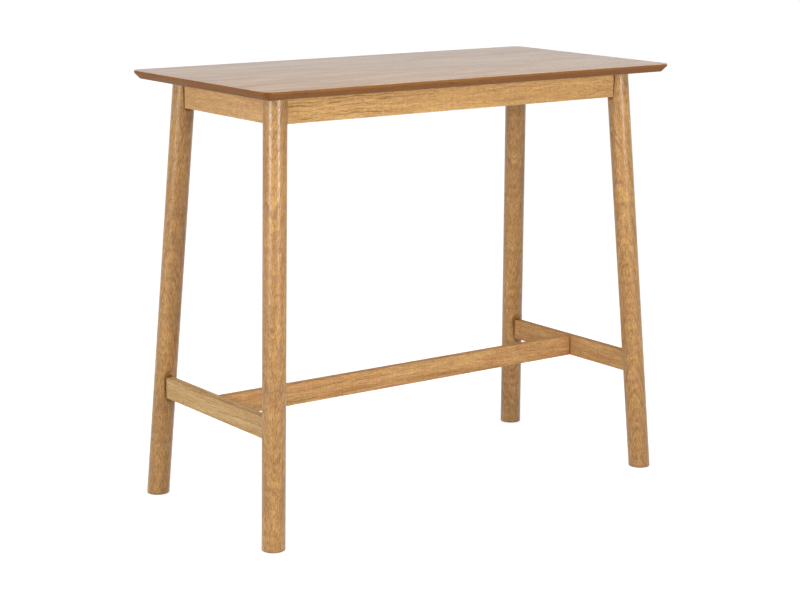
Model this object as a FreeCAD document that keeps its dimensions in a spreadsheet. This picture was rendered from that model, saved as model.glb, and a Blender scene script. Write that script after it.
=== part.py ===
import FreeCAD, Part

import math
import os

import Sketcher
from FreeCAD import Vector

# Bar table with a bevelled oak top on four splayed round legs.
# X runs along the length, Y across the depth with the front at -Y, and Z up from the floor.
# The origin is on the floor under the middle of the top. All lengths are millimetres.

SIZES = (
    # Table top
    ("top_length", 1200, "length of the top"),
    ("top_depth", 600, "depth of the top"),
    ("table_height", 1050, "floor to the face of the top"),
    ("top_thickness", 20, "face to underside"),
    ("lip_height", 6, "upright edge above the bevel"),
    ("corner_radius", 25, "rounding of the corners in plan"),
    ("lipping_width", 32, "solid edge strips round the core"),
    ("veneer_thickness", 0.6, "face and backing veneer"),
    ("veneer_arris", 0.4, "chamfer round the face veneer"),
    # Legs
    ("leg_diameter", 55, "round leg"),
    ("foot_inset_x", 32, "end of the top to a leg's axis at the foot"),
    ("foot_inset_y", 36, "front of the top to a leg's axis at the foot"),
    ("head_inset_x", 89, "end of the top to a leg's axis at the underside of the top"),
    ("head_inset_y", 102.5, "front of the top to a leg's axis at the underside of the top"),
    ("foot_arris", 1.2, "chamfer round the foot"),
    ("cutter_radius", 25, "run-out at the ends of the milled seats"),
    ("apron_seat_depth", 4, "cut into the leg at the middle of an apron"),
    ("stretcher_seat_depth", 5, "cut into the leg at the middle of a stretcher"),
    # Aprons
    ("apron_height", 65, "height of the four aprons"),
    ("apron_thickness", 24, "thickness of the four aprons"),
    ("apron_arris", 1.2, "chamfer of the lower edges"),
    # Stretchers
    ("stretcher_bottom", 251, "floor to the underside of the stretchers"),
    ("stretcher_height", 52, "height of the three stretchers"),
    ("stretcher_thickness", 20, "thickness of the three stretchers"),
    ("stretcher_arris", 1.2, "chamfer of the long edges"),
    # Tenons of the stretchers
    ("tenon_thickness", 10, "all tenons"),
    ("tenon_shoulder", 8, "stretcher's edge to the tenon, above and below"),
    ("tenon_in_leg", 20, "length of a side stretcher's tenon"),
    ("tenon_in_side", 13, "length of the long stretcher's tenon"),
    ("mortise_play", 0.1, "gap between a tenon and each wall of its mortise"),
    # Corner brackets
    ("bracket_sheet", 2, "thickness of the steel"),
    ("bracket_height", 50, "height of the bracket"),
    ("bracket_reach", 44, "inner corner to the bend, along an apron"),
    ("bracket_wing", 32, "length of a wing along an apron"),
    ("kerf_depth", 5, "saw cut that takes the hook of a wing"),
    ("kerf_play", 0.2, "gap between a hook and each wall of its kerf"),
    # Hanger bolts, washers and nuts
    ("bolt_diameter", 8, "hanger bolt"),
    ("bolt_in_leg", 34, "length of a bolt inside the leg"),
    ("bolt_beyond_nut", 5, "length of a bolt past its nut"),
    ("washer_diameter", 18, "washer under a nut"),
    ("washer_thickness", 1.6, "washer under a nut"),
    ("nut_across_flats", 13, "hexagon nut"),
    ("nut_height", 6.5, "hexagon nut"),
    # Screws up through the aprons
    ("top_screw_diameter", 4.5, "screw into the top"),
    ("top_screw_length", 40, "screw into the top"),
    ("top_screw_head", 9, "diameter of the head"),
    ("top_screw_head_height", 2.8, "height of the head"),
    ("top_screw_bite", 13, "length of a screw inside the top"),
    ("counterbore_diameter", 11, "recess for a head in the apron's lower edge"),
    # Glides
    ("glide_diameter", 38, "felt glide stuck under a foot"),
    ("glide_thickness", 2, "felt glide stuck under a foot"),
    # Gaps and overruns
    ("bore_play", 0.1, "gap round a bolt or screw in its bore"),
    ("bore_end_gap", 1.5, "gap past the end of a tenon, bolt or screw"),
    ("cut_overrun", 10, "how far a cut runs past what it cuts"),
)

# Places worked out from the sizes
PLACES = (
    ("underside", "Sizes.table_height - Sizes.top_thickness"),
    ("bevel", "Sizes.top_thickness - Sizes.lip_height"),
    ("leg_height", "underside - Sizes.glide_thickness"),
    ("leg_radius", "Sizes.leg_diameter / 2"),
    ("foot_x", "Sizes.top_length / 2 - Sizes.foot_inset_x"),
    ("foot_y", "Sizes.top_depth / 2 - Sizes.foot_inset_y"),
    ("splay_x", "Sizes.head_inset_x - Sizes.foot_inset_x"),
    ("splay_y", "Sizes.head_inset_y - Sizes.foot_inset_y"),
    ("apron_bottom", "underside - Sizes.apron_height"),
    ("apron_middle", "underside - Sizes.apron_height / 2"),
    ("apron_rise_share", "(apron_middle - Sizes.glide_thickness) / leg_height"),
    ("apron_x", "foot_x - splay_x * apron_rise_share"),
    ("apron_y", "foot_y - splay_y * apron_rise_share"),
    ("apron_end_x", "apron_x - leg_radius + Sizes.apron_seat_depth"),
    ("apron_end_y", "apron_y - leg_radius + Sizes.apron_seat_depth"),
    ("corner_x", "apron_x - Sizes.apron_thickness / 2"),
    ("corner_y", "apron_y - Sizes.apron_thickness / 2"),
    ("stretcher_middle", "Sizes.stretcher_bottom + Sizes.stretcher_height / 2"),
    ("stretcher_top", "Sizes.stretcher_bottom + Sizes.stretcher_height"),
    ("stretcher_rise_share", "(stretcher_middle - Sizes.glide_thickness) / leg_height"),
    ("stretcher_x", "foot_x - splay_x * stretcher_rise_share"),
    ("stretcher_y", "foot_y - splay_y * stretcher_rise_share"),
    ("stretcher_end_y", "stretcher_y - leg_radius + Sizes.stretcher_seat_depth"),
    ("stretcher_end_x", "stretcher_x - Sizes.stretcher_thickness / 2"),
    ("tenon_height", "Sizes.stretcher_height - 2 * Sizes.tenon_shoulder"),
    ("mortise_height", "tenon_height + 2 * Sizes.mortise_play"),
    ("mortise_thickness", "Sizes.tenon_thickness + 2 * Sizes.mortise_play"),
    ("plate_distance", "Sizes.apron_thickness / 2 * sqrt(2) + Sizes.bracket_reach / sqrt(2)"),
    ("bolt_tip", "leg_radius - Sizes.bolt_in_leg"),
    ("washer_seat", "plate_distance + Sizes.bracket_sheet"),
    ("nut_seat", "washer_seat + Sizes.washer_thickness"),
    ("bolt_end", "nut_seat + Sizes.nut_height + Sizes.bolt_beyond_nut"),
    ("counterbore_depth", "Sizes.apron_height - Sizes.top_screw_length + Sizes.top_screw_bite"),
    ("bolt_bore", "Sizes.bolt_diameter / 2 + Sizes.bore_play"),
    ("top_screw_bore", "Sizes.top_screw_diameter / 2 + Sizes.bore_play"),
)

# Places of the screws along an apron, as shares of its half length
LONG_APRON_SCREW_SHARES = (-0.6, 0.6)
SHORT_APRON_SCREW_SHARES = (0,)

# Signs of X and Y at the four corners
CORNERS = ((-1, -1), (1, -1), (-1, 1), (1, 1))

# Two points closer than this count as one
NEAR = 1e-4

doc = FreeCAD.newDocument("BarTable")
sheet = doc.addObject("Spreadsheet::Sheet", "Sizes")
for row, (alias, size, note) in enumerate(SIZES, 1):
    sheet.set(f"A{row}", alias.replace("_", " "))
    sheet.set(f"B{row}", str(size))
    sheet.set(f"C{row}", note)
    sheet.setAlias(f"B{row}", alias)
doc.recompute()

places = doc.addObject("App::VarSet", "Places")
for place_name, formula in PLACES:
    places.addProperty("App::PropertyFloat", place_name, "Places", "worked out from the sizes")
    places.setExpression(place_name, formula)
places.addProperty("App::PropertyAngle", "lean", "Places", "angle of a leg from upright")
places.setExpression("lean", "atan(hypot(splay_x; splay_y) / leg_height)")
doc.recompute()

pieces = []


def value(formula):
    """Number that a formula of sizes and places gives."""
    return float(sheet.evalExpression(formula))


def bind(item, **formulas):
    """Tie properties of an item to formulas."""
    for name, formula in formulas.items():
        item.setExpression(name, formula)
    return item


def place(item, x="0", y="0", z="0", axis=("0", "0", "1"), angle="0"):
    """Tie an item's placement to formulas."""
    move = f"vector({x}; {y}; {z})"
    turn = f"rotation(vector({axis[0]}; {axis[1]}; {axis[2]}); {angle})"
    return bind(item, Placement=f"placement({move}; {turn})")


def piece(item, label):
    """Keep an item as the finished sub-part of this name."""
    item.Label = label
    pieces.append(item)
    return item


def stem_of(label):
    return label.title().replace("_", "")


# Sketches

def new_sketch(body, name, role, offset="0"):
    """Sketch on one of the body's origin planes, moved along the plane's normal."""
    plane = next(item for item in body.Origin.OriginFeatures if item.Role == role)
    sketch = body.newObject("Sketcher::SketchObject", name)
    sketch.AttachmentSupport = (plane, [""])
    sketch.MapMode = "FlatFace"
    sketch.setExpression("AttachmentOffset.Base.z", offset)
    return sketch


def tie(sketch, rule, formula):
    """Add a dimension to a sketch and hold it at a formula."""
    sketch.setExpression(f"Constraints[{sketch.addConstraint(rule)}]", formula)


def tie_point(sketch, geometry, end, corner):
    """Hold a point of a sketch at two formulas from the sketch's origin."""
    for kind, formula in zip(("DistanceX", "DistanceY"), corner):
        tie(sketch, Sketcher.Constraint(kind, -1, 1, geometry, end, value(formula)), formula)


def left_arc(start, end, radius):
    """Arc from start to end that turns left through less than half a circle."""
    chord = end - start
    rise = math.sqrt(radius ** 2 - (chord.Length / 2) ** 2)
    centre = (start + end) / 2 + Vector(-chord.y, chord.x, 0).normalize() * rise
    first, last = (math.atan2(point.y - centre.y, point.x - centre.x) for point in (start, end))
    if last < first:
        last += 2 * math.pi
    return Part.ArcOfCircle(Part.Circle(centre, Vector(0, 0, 1), radius), first, last)


def outline(sketch, corners, arcs=None):
    """Closed outline through corners given as pairs of formulas, drawn to the left.

    arcs maps the number of a side to the formula of its radius.
    """
    arcs = arcs or {}
    points = [Vector(value(x), value(y), 0) for x, y in corners]
    sides = []
    for number, start in enumerate(points):
        end = points[(number + 1) % len(points)]
        if number in arcs:
            side = left_arc(start, end, value(arcs[number]))
        else:
            side = Part.LineSegment(start, end)
        sides.append(sketch.addGeometry(side, False))
    for number, side in enumerate(sides):
        following = sides[(number + 1) % len(sides)]
        sketch.addConstraint(Sketcher.Constraint("Coincident", side, 2, following, 1))
        tie_point(sketch, side, 1, corners[number])
        if number in arcs:
            tie(sketch, Sketcher.Constraint("Radius", side, value(arcs[number])), arcs[number])


def rectangle(sketch, x0, x1, y0, y1):
    outline(sketch, ((x0, y0), (x1, y0), (x1, y1), (x0, y1)))


def circles(sketch, centres, radius):
    """Circles of one radius round centres given as pairs of formulas."""
    for centre in centres:
        middle = Vector(value(centre[0]), value(centre[1]), 0)
        ring = sketch.addGeometry(Part.Circle(middle, Vector(0, 0, 1), value(radius)), False)
        tie_point(sketch, ring, 3, centre)
        tie(sketch, Sketcher.Constraint("Radius", ring, value(radius)), radius)


# Features

def pad(body, sketch, length, side="One side"):
    feature = body.newObject("PartDesign::Pad", f"{sketch.Name}Pad")
    feature.Profile = sketch
    feature.SideType = side
    bind(feature, Length=length)
    doc.recompute()


def pocket(body, sketch, length=None, side="One side", backwards=False):
    """Cut a sketch out of the body, right through where no length is given."""
    before = body.Shape.Volume
    feature = body.newObject("PartDesign::Pocket", f"{sketch.Name}Pocket")
    feature.Profile = sketch
    feature.SideType = side
    feature.Reversed = backwards
    if length is None:
        feature.Type = "ThroughAll"
    else:
        bind(feature, Length=length)
    doc.recompute()
    if not body.Shape.Volume < before:
        raise RuntimeError(f"{feature.Name} cuts nothing")


def chamfer(body, name, size, picked):
    """Chamfer those edges of the body that picked accepts."""
    base = body.Tip
    names = [f"Edge{number}" for number, edge in enumerate(base.Shape.Edges, 1) if picked(edge)]
    if not names:
        raise RuntimeError(f"{name} finds no edge")
    feature = body.newObject("PartDesign::Chamfer", name)
    feature.Base = (base, names)
    bind(feature, Size=size)
    doc.recompute()


def is_level(edge, height):
    """Whether an edge lies in the level plane at this height."""
    return abs(edge.BoundBox.ZMin - height) < NEAR and abs(edge.BoundBox.ZMax - height) < NEAR


def turned(name, profile):
    """Body made by turning a profile of radii and heights round Z."""
    body = doc.addObject("PartDesign::Body", name)
    sketch = new_sketch(body, f"{name}Profile", "XZ_Plane")
    outline(sketch, profile)
    feature = body.newObject("PartDesign::Revolution", f"{name}Turned")
    feature.Profile = sketch
    feature.ReferenceAxis = (sketch, ["V_Axis"])
    feature.Angle = 360
    doc.recompute()
    return body


def cylinder(name, radius, height, **where):
    return place(bind(doc.addObject("Part::Cylinder", name), Radius=radius, Height=height), **where)


def boolean(kind, name, base, tool):
    """Part boolean, Cut or Common, of two items."""
    feature = doc.addObject(f"Part::{kind}", name)
    feature.Base = base
    feature.Tool = tool
    return feature


def mirrored(label, source, normal):
    """Mirror image of a sub-part in a plane through the origin."""
    feature = doc.addObject("Part::Mirroring", stem_of(label))
    feature.Source = source
    feature.Normal = normal
    return piece(feature, label)


def at_four_corners(stem, source):
    """The front left sub-part and its mirror images at the other three corners."""
    piece(source, f"{stem}_front_left")
    mirrored(f"{stem}_back_left", source, Vector(0, 1, 0))
    right = mirrored(f"{stem}_front_right", source, Vector(1, 0, 0))
    mirrored(f"{stem}_back_right", right, Vector(0, 1, 0))


def group(label, source, spots):
    """One sub-part of equal solids, each spot holding the arguments of place."""
    copies = []
    for number, spot in enumerate(spots, 1):
        copy = doc.addObject("App::Link", f"{stem_of(label)}{number}")
        copy.LinkedObject = source
        copies.append(place(copy, **spot))
    feature = doc.addObject("Part::Compound", stem_of(label))
    feature.Links = copies
    return piece(feature, label)


# Table top

def top_screw_spots():
    """Centres, in plan, of the screws that come up through the aprons."""
    along = [(f"{share} * Places.apron_end_x", f"{side} * Places.apron_y")
             for side in (-1, 1) for share in LONG_APRON_SCREW_SHARES]
    across = [(f"{side} * Places.apron_x", f"{share} * Places.apron_end_y")
              for side in (-1, 1) for share in SHORT_APRON_SCREW_SHARES]
    return along + across


def bore_for_top_screws(body, depth=None):
    sketch = new_sketch(body, f"{body.Name}Bores", "XY_Plane")
    circles(sketch, top_screw_spots(), "Places.top_screw_bore")
    pocket(body, sketch, depth, backwards=True)


def rounded_sheet(name, inset, bottom, thickness):
    """Sheet with rounded corners that stays inset from the edges of the top."""
    body = doc.addObject("PartDesign::Body", name)
    place(body, z=bottom)
    sketch = new_sketch(body, f"{name}Outline", "XY_Plane")
    x = f"(Sizes.top_length / 2 - {inset})"
    y = f"(Sizes.top_depth / 2 - {inset})"
    r = f"(Sizes.corner_radius - {inset})"
    corners = (
        (f"{r} - {x}", f"-{y}"), (f"{x} - {r}", f"-{y}"),
        (x, f"{r} - {y}"), (x, f"{y} - {r}"),
        (f"{x} - {r}", y), (f"{r} - {x}", y),
        (f"-{x}", f"{y} - {r}"), (f"-{x}", f"{r} - {y}"),
    )
    outline(sketch, corners, {number: r for number in (1, 3, 5, 7)})
    pad(body, sketch, thickness)
    return body


def make_veneers():
    thickness = "Sizes.veneer_thickness"
    face = rounded_sheet("FaceVeneer", "0", f"Sizes.table_height - {thickness}", thickness)
    chamfer(face, "FaceVeneerArris", "Sizes.veneer_arris",
            lambda edge: is_level(edge, value(thickness)))
    piece(face, "top_face_veneer")
    backing = rounded_sheet("BackingVeneer", "Places.bevel", "Places.underside", thickness)
    bore_for_top_screws(backing)
    piece(backing, "top_backing_veneer")


def make_core():
    body = doc.addObject("PartDesign::Body", "Core")
    place(body, z="Places.underside + Sizes.veneer_thickness")
    x = "(Sizes.top_length / 2 - Sizes.lipping_width)"
    y = "(Sizes.top_depth / 2 - Sizes.lipping_width)"
    sketch = new_sketch(body, "CoreOutline", "XY_Plane")
    rectangle(sketch, f"-{x}", x, f"-{y}", y)
    pad(body, sketch, "Sizes.top_thickness - 2 * Sizes.veneer_thickness")
    bore_for_top_screws(body, "Sizes.top_screw_bite - Sizes.veneer_thickness + Sizes.bore_end_gap")
    piece(body, "top_core")


def make_lipping(label, half_length, half_depth, angle):
    """Edge strip with mitred ends and a bevel, drawn as the front one and turned into place."""
    body = doc.addObject("PartDesign::Body", stem_of(label))
    place(body, z="Places.underside + Sizes.veneer_thickness", angle=angle)
    sketch = new_sketch(body, f"{body.Name}Outline", "XY_Plane")
    width = "Sizes.lipping_width"
    radius = "Sizes.corner_radius"
    # The mitre runs through the middle of the rounded corner
    nose = f"{radius} * (1 - sqrt(0.5))"
    corners = (
        (f"{radius} - {half_length}", f"-{half_depth}"),
        (f"{half_length} - {radius}", f"-{half_depth}"),
        (f"{half_length} - {nose}", f"{nose} - {half_depth}"),
        (f"{half_length} - {width}", f"{width} - {half_depth}"),
        (f"{width} - {half_length}", f"{width} - {half_depth}"),
        (f"{nose} - {half_length}", f"{nose} - {half_depth}"),
    )
    outline(sketch, corners, {1: radius, 5: radius})
    pad(body, sketch, "Sizes.top_thickness - 2 * Sizes.veneer_thickness")
    outside = value(f"{nose} - {half_depth}") + NEAR
    chamfer(body, f"{body.Name}Bevel", "Places.bevel - Sizes.veneer_thickness",
            lambda edge: is_level(edge, 0) and edge.BoundBox.YMax < outside)
    piece(body, label)


def make_top():
    half_length = "Sizes.top_length / 2"
    half_depth = "Sizes.top_depth / 2"
    make_core()
    make_lipping("lipping_front", half_length, half_depth, "0")
    make_lipping("lipping_back", half_length, half_depth, "180")
    make_lipping("lipping_left", half_depth, half_length, "-90")
    make_lipping("lipping_right", half_depth, half_length, "90")
    make_veneers()


def bolt_spots(distance, corners=CORNERS):
    """Level lines from the legs to the brackets, starting at this distance from a leg's axis."""
    step = f"({distance}) / sqrt(2)"
    return [dict(x=f"{x} * (Places.apron_x - {step})", y=f"{y} * (Places.apron_y - {step})",
                 z="Places.apron_middle", axis=(f"{y}", f"{-x}", "0"), angle="90")
            for x, y in corners]


# Legs

def leg_bore():
    """Bore of the front left leg for its hanger bolt."""
    spot, = bolt_spots("Places.bolt_tip - Sizes.bore_end_gap", CORNERS[:1])
    return cylinder("LegBore", "Places.bolt_bore",
                    "Sizes.bolt_in_leg + Sizes.bore_end_gap + Sizes.cut_overrun", **spot)


def leg_mortise():
    """Mortise of the front left leg for the tenon of its side stretcher."""
    box = bind(doc.addObject("Part::Box", "LegMortise"),
               Length="Places.mortise_thickness", Height="Places.mortise_height",
               Width="Sizes.tenon_in_leg + Sizes.bore_end_gap + Sizes.cut_overrun")
    return place(box, x="-Places.stretcher_x - Places.mortise_thickness / 2",
                 y="-Places.stretcher_end_y - Sizes.tenon_in_leg - Sizes.bore_end_gap",
                 z="Places.stretcher_middle - Places.mortise_height / 2")


def mill_seat(body, name, role, flat, bottom, top, open_top=False):
    """Mill an upright flat with round run-outs, drawn from the side; an open seat runs out at the top."""
    radius = "Sizes.cutter_radius"
    outer = f"{flat} + {radius}"
    end = f"{top} + Sizes.cut_overrun" if open_top else f"{top} + {radius}"
    start = end if open_top else top
    sketch = new_sketch(body, name, role)
    corners = ((flat, start), (flat, bottom), (outer, f"{bottom} - {radius}"), (outer, end))
    outline(sketch, corners, {1: radius} if open_top else {1: radius, 3: radius})
    pocket(body, sketch, side="Symmetric")


def make_legs():
    """Round leg, cut level at both ends, with milled seats for the ends of aprons and stretchers."""
    drop_share = "Places.leg_radius / Places.leg_height"
    blank = cylinder(
        "LegBlank", "Places.leg_radius", "(Places.leg_height + Sizes.leg_diameter) / cos(Places.lean)",
        x=f"-Places.foot_x - Places.splay_x * {drop_share}",
        y=f"-Places.foot_y - Places.splay_y * {drop_share}",
        z="Sizes.glide_thickness - Places.leg_radius",
        axis=("-Places.splay_y", "Places.splay_x", "0"), angle="Places.lean")
    slab = bind(doc.addObject("Part::Box", "LegSlab"),
                Length="Places.splay_x + 2 * Sizes.leg_diameter",
                Width="Places.splay_y + 2 * Sizes.leg_diameter",
                Height="Places.leg_height")
    place(slab, x="-Places.foot_x - Sizes.leg_diameter", y="-Places.foot_y - Sizes.leg_diameter",
          z="Sizes.glide_thickness")
    level = boolean("Common", "LegCutLevel", blank, slab)
    bored = boolean("Cut", "LegBored", level, leg_bore())
    body = doc.addObject("PartDesign::Body", "Leg")
    body.BaseFeature = boolean("Cut", "LegMortised", bored, leg_mortise())
    doc.recompute()
    mill_seat(body, "LongApronSeat", "XZ_Plane", "-Places.apron_end_x",
              "Places.apron_bottom", "Places.underside", open_top=True)
    mill_seat(body, "ShortApronSeat", "YZ_Plane", "-Places.apron_end_y",
              "Places.apron_bottom", "Places.underside", open_top=True)
    mill_seat(body, "StretcherSeat", "YZ_Plane", "-Places.stretcher_end_y",
              "Sizes.stretcher_bottom", "Places.stretcher_top")
    foot = value("Sizes.glide_thickness")
    radius = value("Places.leg_radius")
    chamfer(body, "FootArris", "Sizes.foot_arris",
            lambda edge: is_level(edge, foot) and edge.BoundBox.XLength > radius)
    at_four_corners("leg", body)


# Aprons and stretchers

def board(name, half_length, thickness, height, arris, eased):
    """Board along X, standing on z = 0, with those long edges chamfered that eased accepts."""
    body = doc.addObject("PartDesign::Body", name)
    sketch = new_sketch(body, f"{name}Section", "YZ_Plane")
    rectangle(sketch, f"-{thickness} / 2", f"{thickness} / 2", "0", height)
    pad(body, sketch, f"2 * {half_length}", side="Symmetric")
    length = value(half_length)
    chamfer(body, f"{name}Arris", arris,
            lambda edge: edge.BoundBox.XLength > length and eased(edge))
    return body


def make_apron(label, half_length, corner, screw_shares, **where):
    """Apron with kerfs for the hooks of the brackets and recessed bores for the screws of the top."""
    height = "Sizes.apron_height"
    thickness = "Sizes.apron_thickness"
    body = board(stem_of(label), half_length, thickness, height, "Sizes.apron_arris",
                 lambda edge: is_level(edge, 0))
    place(body, z="Places.apron_bottom", **where)
    hook = f"({corner} - Sizes.bracket_reach - Sizes.bracket_wing + Sizes.bracket_sheet / 2)"
    half_kerf = "(Sizes.bracket_sheet / 2 + Sizes.kerf_play)"
    kerfs = new_sketch(body, f"{body.Name}Kerfs", "XY_Plane")
    for side in (-1, 1):
        rectangle(kerfs, f"{side} * {hook} - {half_kerf}", f"{side} * {hook} + {half_kerf}",
                  f"{thickness} / 2 - Sizes.kerf_depth", f"{thickness} / 2 + Sizes.cut_overrun")
    pocket(body, kerfs, backwards=True)
    screws = [(f"{share} * {half_length}", "0") for share in screw_shares]
    recess = ("Recesses", "Sizes.counterbore_diameter / 2", "Places.counterbore_depth")
    for name, radius, depth in (recess, ("ScrewBores", "Places.top_screw_bore", None)):
        sketch = new_sketch(body, f"{body.Name}{name}", "XY_Plane")
        circles(sketch, screws, radius)
        pocket(body, sketch, depth, backwards=True)
    piece(body, label)


def make_aprons():
    long_apron = ("Places.apron_end_x", "Places.corner_x", LONG_APRON_SCREW_SHARES)
    short_apron = ("Places.apron_end_y", "Places.corner_y", SHORT_APRON_SCREW_SHARES)
    make_apron("apron_front", *long_apron, y="-Places.apron_y")
    make_apron("apron_back", *long_apron, y="Places.apron_y", angle="180")
    make_apron("apron_left", *short_apron, x="-Places.apron_x", angle="-90")
    make_apron("apron_right", *short_apron, x="Places.apron_x", angle="90")


def stretcher(label, half_length, tenon, **where):
    """Stretcher with a tenon of this length beyond each shoulder."""
    height = "Sizes.stretcher_height"
    body = board(stem_of(label), half_length, "Sizes.stretcher_thickness", height,
                 "Sizes.stretcher_arris", lambda edge: True)
    place(body, z="Sizes.stretcher_bottom", **where)
    sketch = new_sketch(body, f"{body.Name}Tenons", "YZ_Plane")
    rectangle(sketch, "-Sizes.tenon_thickness / 2", "Sizes.tenon_thickness / 2",
              "Sizes.tenon_shoulder", f"{height} - Sizes.tenon_shoulder")
    pad(body, sketch, f"2 * ({half_length} + {tenon})", side="Symmetric")
    return body


def make_stretchers():
    """Two side stretchers with a mortise in the middle of the inner face, and the long one between them."""
    for label, side in (("side_stretcher_left", -1), ("side_stretcher_right", 1)):
        body = stretcher(label, "Places.stretcher_end_y", "Sizes.tenon_in_leg",
                         x=f"{side} * Places.stretcher_x", angle=f"{side} * 90")
        sketch = new_sketch(body, f"{body.Name}Mortise", "XZ_Plane",
                            offset="-Sizes.stretcher_thickness / 2")
        rectangle(sketch, "-Places.mortise_thickness / 2", "Places.mortise_thickness / 2",
                  "(Sizes.stretcher_height - Places.mortise_height) / 2",
                  "(Sizes.stretcher_height + Places.mortise_height) / 2")
        pocket(body, sketch, "Sizes.tenon_in_side + Sizes.bore_end_gap", backwards=True)
        piece(body, label)
    piece(stretcher("long_stretcher", "Places.stretcher_end_x", "Sizes.tenon_in_side"), "long_stretcher")


# Corner brackets and what holds them

def make_brackets():
    """Pressed steel strip, seen from above: hook, wing, slanting plate, wing, hook."""
    strip = doc.addObject("PartDesign::Body", "BracketStrip")
    place(strip, x="-Places.corner_x", y="-Places.corner_y",
          z="Places.apron_middle - Sizes.bracket_height / 2")
    thickness = "Sizes.bracket_sheet"
    end = "Sizes.bracket_reach + Sizes.bracket_wing"
    hook = "Sizes.kerf_play - Sizes.kerf_depth"
    inner_bend = f"Sizes.bracket_reach + {thickness} * (sqrt(2) - 1)"
    room_side = ((end, hook), (end, thickness), (inner_bend, thickness))
    leg_side = (("Sizes.bracket_reach", "0"), (f"{end} - {thickness}", "0"), (f"{end} - {thickness}", hook))
    sketch = new_sketch(strip, "BracketOutline", "XY_Plane")
    outline(sketch, (*room_side, *((y, x) for x, y in reversed(room_side)),
                     *((y, x) for x, y in reversed(leg_side)), *leg_side))
    pad(strip, sketch, "Sizes.bracket_height")
    through = "Sizes.bracket_sheet + 2 * Sizes.cut_overrun"
    spot, = bolt_spots("Places.plate_distance - Sizes.cut_overrun", CORNERS[:1])
    bore = cylinder("PlateBore", "Places.bolt_bore", through, **spot)
    at_four_corners("corner_bracket", boolean("Cut", "CornerBracket", strip, bore))


def make_bolts():
    """Hanger bolts with their washers and nuts."""
    bolt = cylinder("HangerBolt", "Sizes.bolt_diameter / 2", "Places.bolt_end - Places.bolt_tip")
    group("hanger_bolts", bolt, bolt_spots("Places.bolt_tip"))

    washer = doc.addObject("PartDesign::Body", "Washer")
    sketch = new_sketch(washer, "WasherRings", "XY_Plane")
    for ring in ("Sizes.washer_diameter / 2", "Places.bolt_bore"):
        circles(sketch, (("0", "0"),), ring)
    pad(washer, sketch, "Sizes.washer_thickness")
    group("bracket_washers", washer, bolt_spots("Places.washer_seat"))

    nut = doc.addObject("PartDesign::Body", "Nut")
    sketch = new_sketch(nut, "NutSection", "XY_Plane")
    outline(sketch, [(f"Sizes.nut_across_flats / sqrt(3) * cos({turn})",
                      f"Sizes.nut_across_flats / sqrt(3) * sin({turn})")
                     for turn in ("0 deg", "60 deg", "120 deg", "180 deg", "240 deg", "300 deg")])
    circles(sketch, (("0", "0"),), "Places.bolt_bore")
    pad(nut, sketch, "Sizes.nut_height")
    group("bracket_nuts", nut, bolt_spots("Places.nut_seat"))


def make_top_screws():
    """Screws with the underside of the head at z = 0 and the shank below it, turned head down."""
    radius = "Sizes.top_screw_diameter / 2"
    head = "Sizes.top_screw_head / 2"
    screw = turned("TopScrew", (
        ("0", "-Sizes.top_screw_length"), (radius, "-Sizes.top_screw_length"), (radius, "0"), (head, "0"),
        (head, "Sizes.top_screw_head_height"), ("0", "Sizes.top_screw_head_height")))
    group("top_screws", screw, [
        dict(x=x, y=y, z="Places.apron_bottom + Places.counterbore_depth",
             axis=("1", "0", "0"), angle="180") for x, y in top_screw_spots()])


# Glides

def make_glides():
    glide = cylinder("Glide", "Sizes.glide_diameter / 2", "Sizes.glide_thickness")
    group("foot_glides", glide, [
        dict(x=f"{x} * Places.foot_x", y=f"{y} * Places.foot_y") for x, y in CORNERS])


make_top()
make_legs()
make_aprons()
make_stretchers()
make_brackets()
make_bolts()
make_top_screws()
make_glides()
doc.recompute()

for item in doc.Objects:
    if {"Invalid", "Error"} & set(item.State):
        raise RuntimeError(f"{item.Name} failed: {item.State}")
for item in pieces:
    if item.Shape.isNull() or not item.Shape.isValid():
        raise RuntimeError(f"{item.Label} has no valid shape")

os.makedirs("parts", exist_ok=True)
for item in pieces:
    item.Shape.exportStep(os.path.join("parts", f"{item.Label}.step"))
    print(f"{item.Label}: {len(item.Shape.Solids)} solid(s), {item.Shape.Volume / 1000:.1f} cm3")
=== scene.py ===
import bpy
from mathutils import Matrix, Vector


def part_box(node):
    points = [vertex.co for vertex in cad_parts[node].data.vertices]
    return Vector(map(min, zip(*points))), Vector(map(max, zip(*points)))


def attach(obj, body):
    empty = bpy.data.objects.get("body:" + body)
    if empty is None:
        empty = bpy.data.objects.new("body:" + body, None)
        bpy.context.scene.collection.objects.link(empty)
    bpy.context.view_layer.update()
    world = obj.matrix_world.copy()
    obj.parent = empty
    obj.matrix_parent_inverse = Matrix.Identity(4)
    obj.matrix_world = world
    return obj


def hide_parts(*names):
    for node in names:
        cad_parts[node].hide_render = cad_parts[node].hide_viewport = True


bl_info = {
    "name": "Bar table",
    "version": (1, 0, 0),
    "blender": (4, 5, 0),
    "location": "View3D > Sidebar > Bar table",
    "description": "Dresses the frame of a bar table, an oak top on four splayed round legs",
    "category": "Add Mesh",
}

import math
import random

import bmesh
import bpy
from bpy.props import FloatProperty, FloatVectorProperty, IntProperty, PointerProperty
from mathutils import Euler, Matrix, Vector

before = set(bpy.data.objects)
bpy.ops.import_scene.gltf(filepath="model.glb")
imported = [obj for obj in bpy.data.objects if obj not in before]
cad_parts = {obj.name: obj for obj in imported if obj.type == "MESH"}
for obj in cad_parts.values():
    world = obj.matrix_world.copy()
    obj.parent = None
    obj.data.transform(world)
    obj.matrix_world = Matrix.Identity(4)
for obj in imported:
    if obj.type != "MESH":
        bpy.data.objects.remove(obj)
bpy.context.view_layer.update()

# Signs of X and Y at the four corners, by the names that the corners have
CORNERS = {"front_left": (-1, -1), "front_right": (1, -1), "back_left": (-1, 1), "back_right": (1, 1)}
# Sides of the table, and the ones whose apron and lipping run along X
SIDES = ("front", "back", "left", "right")
LONG_SIDES = ("front", "back")
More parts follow.
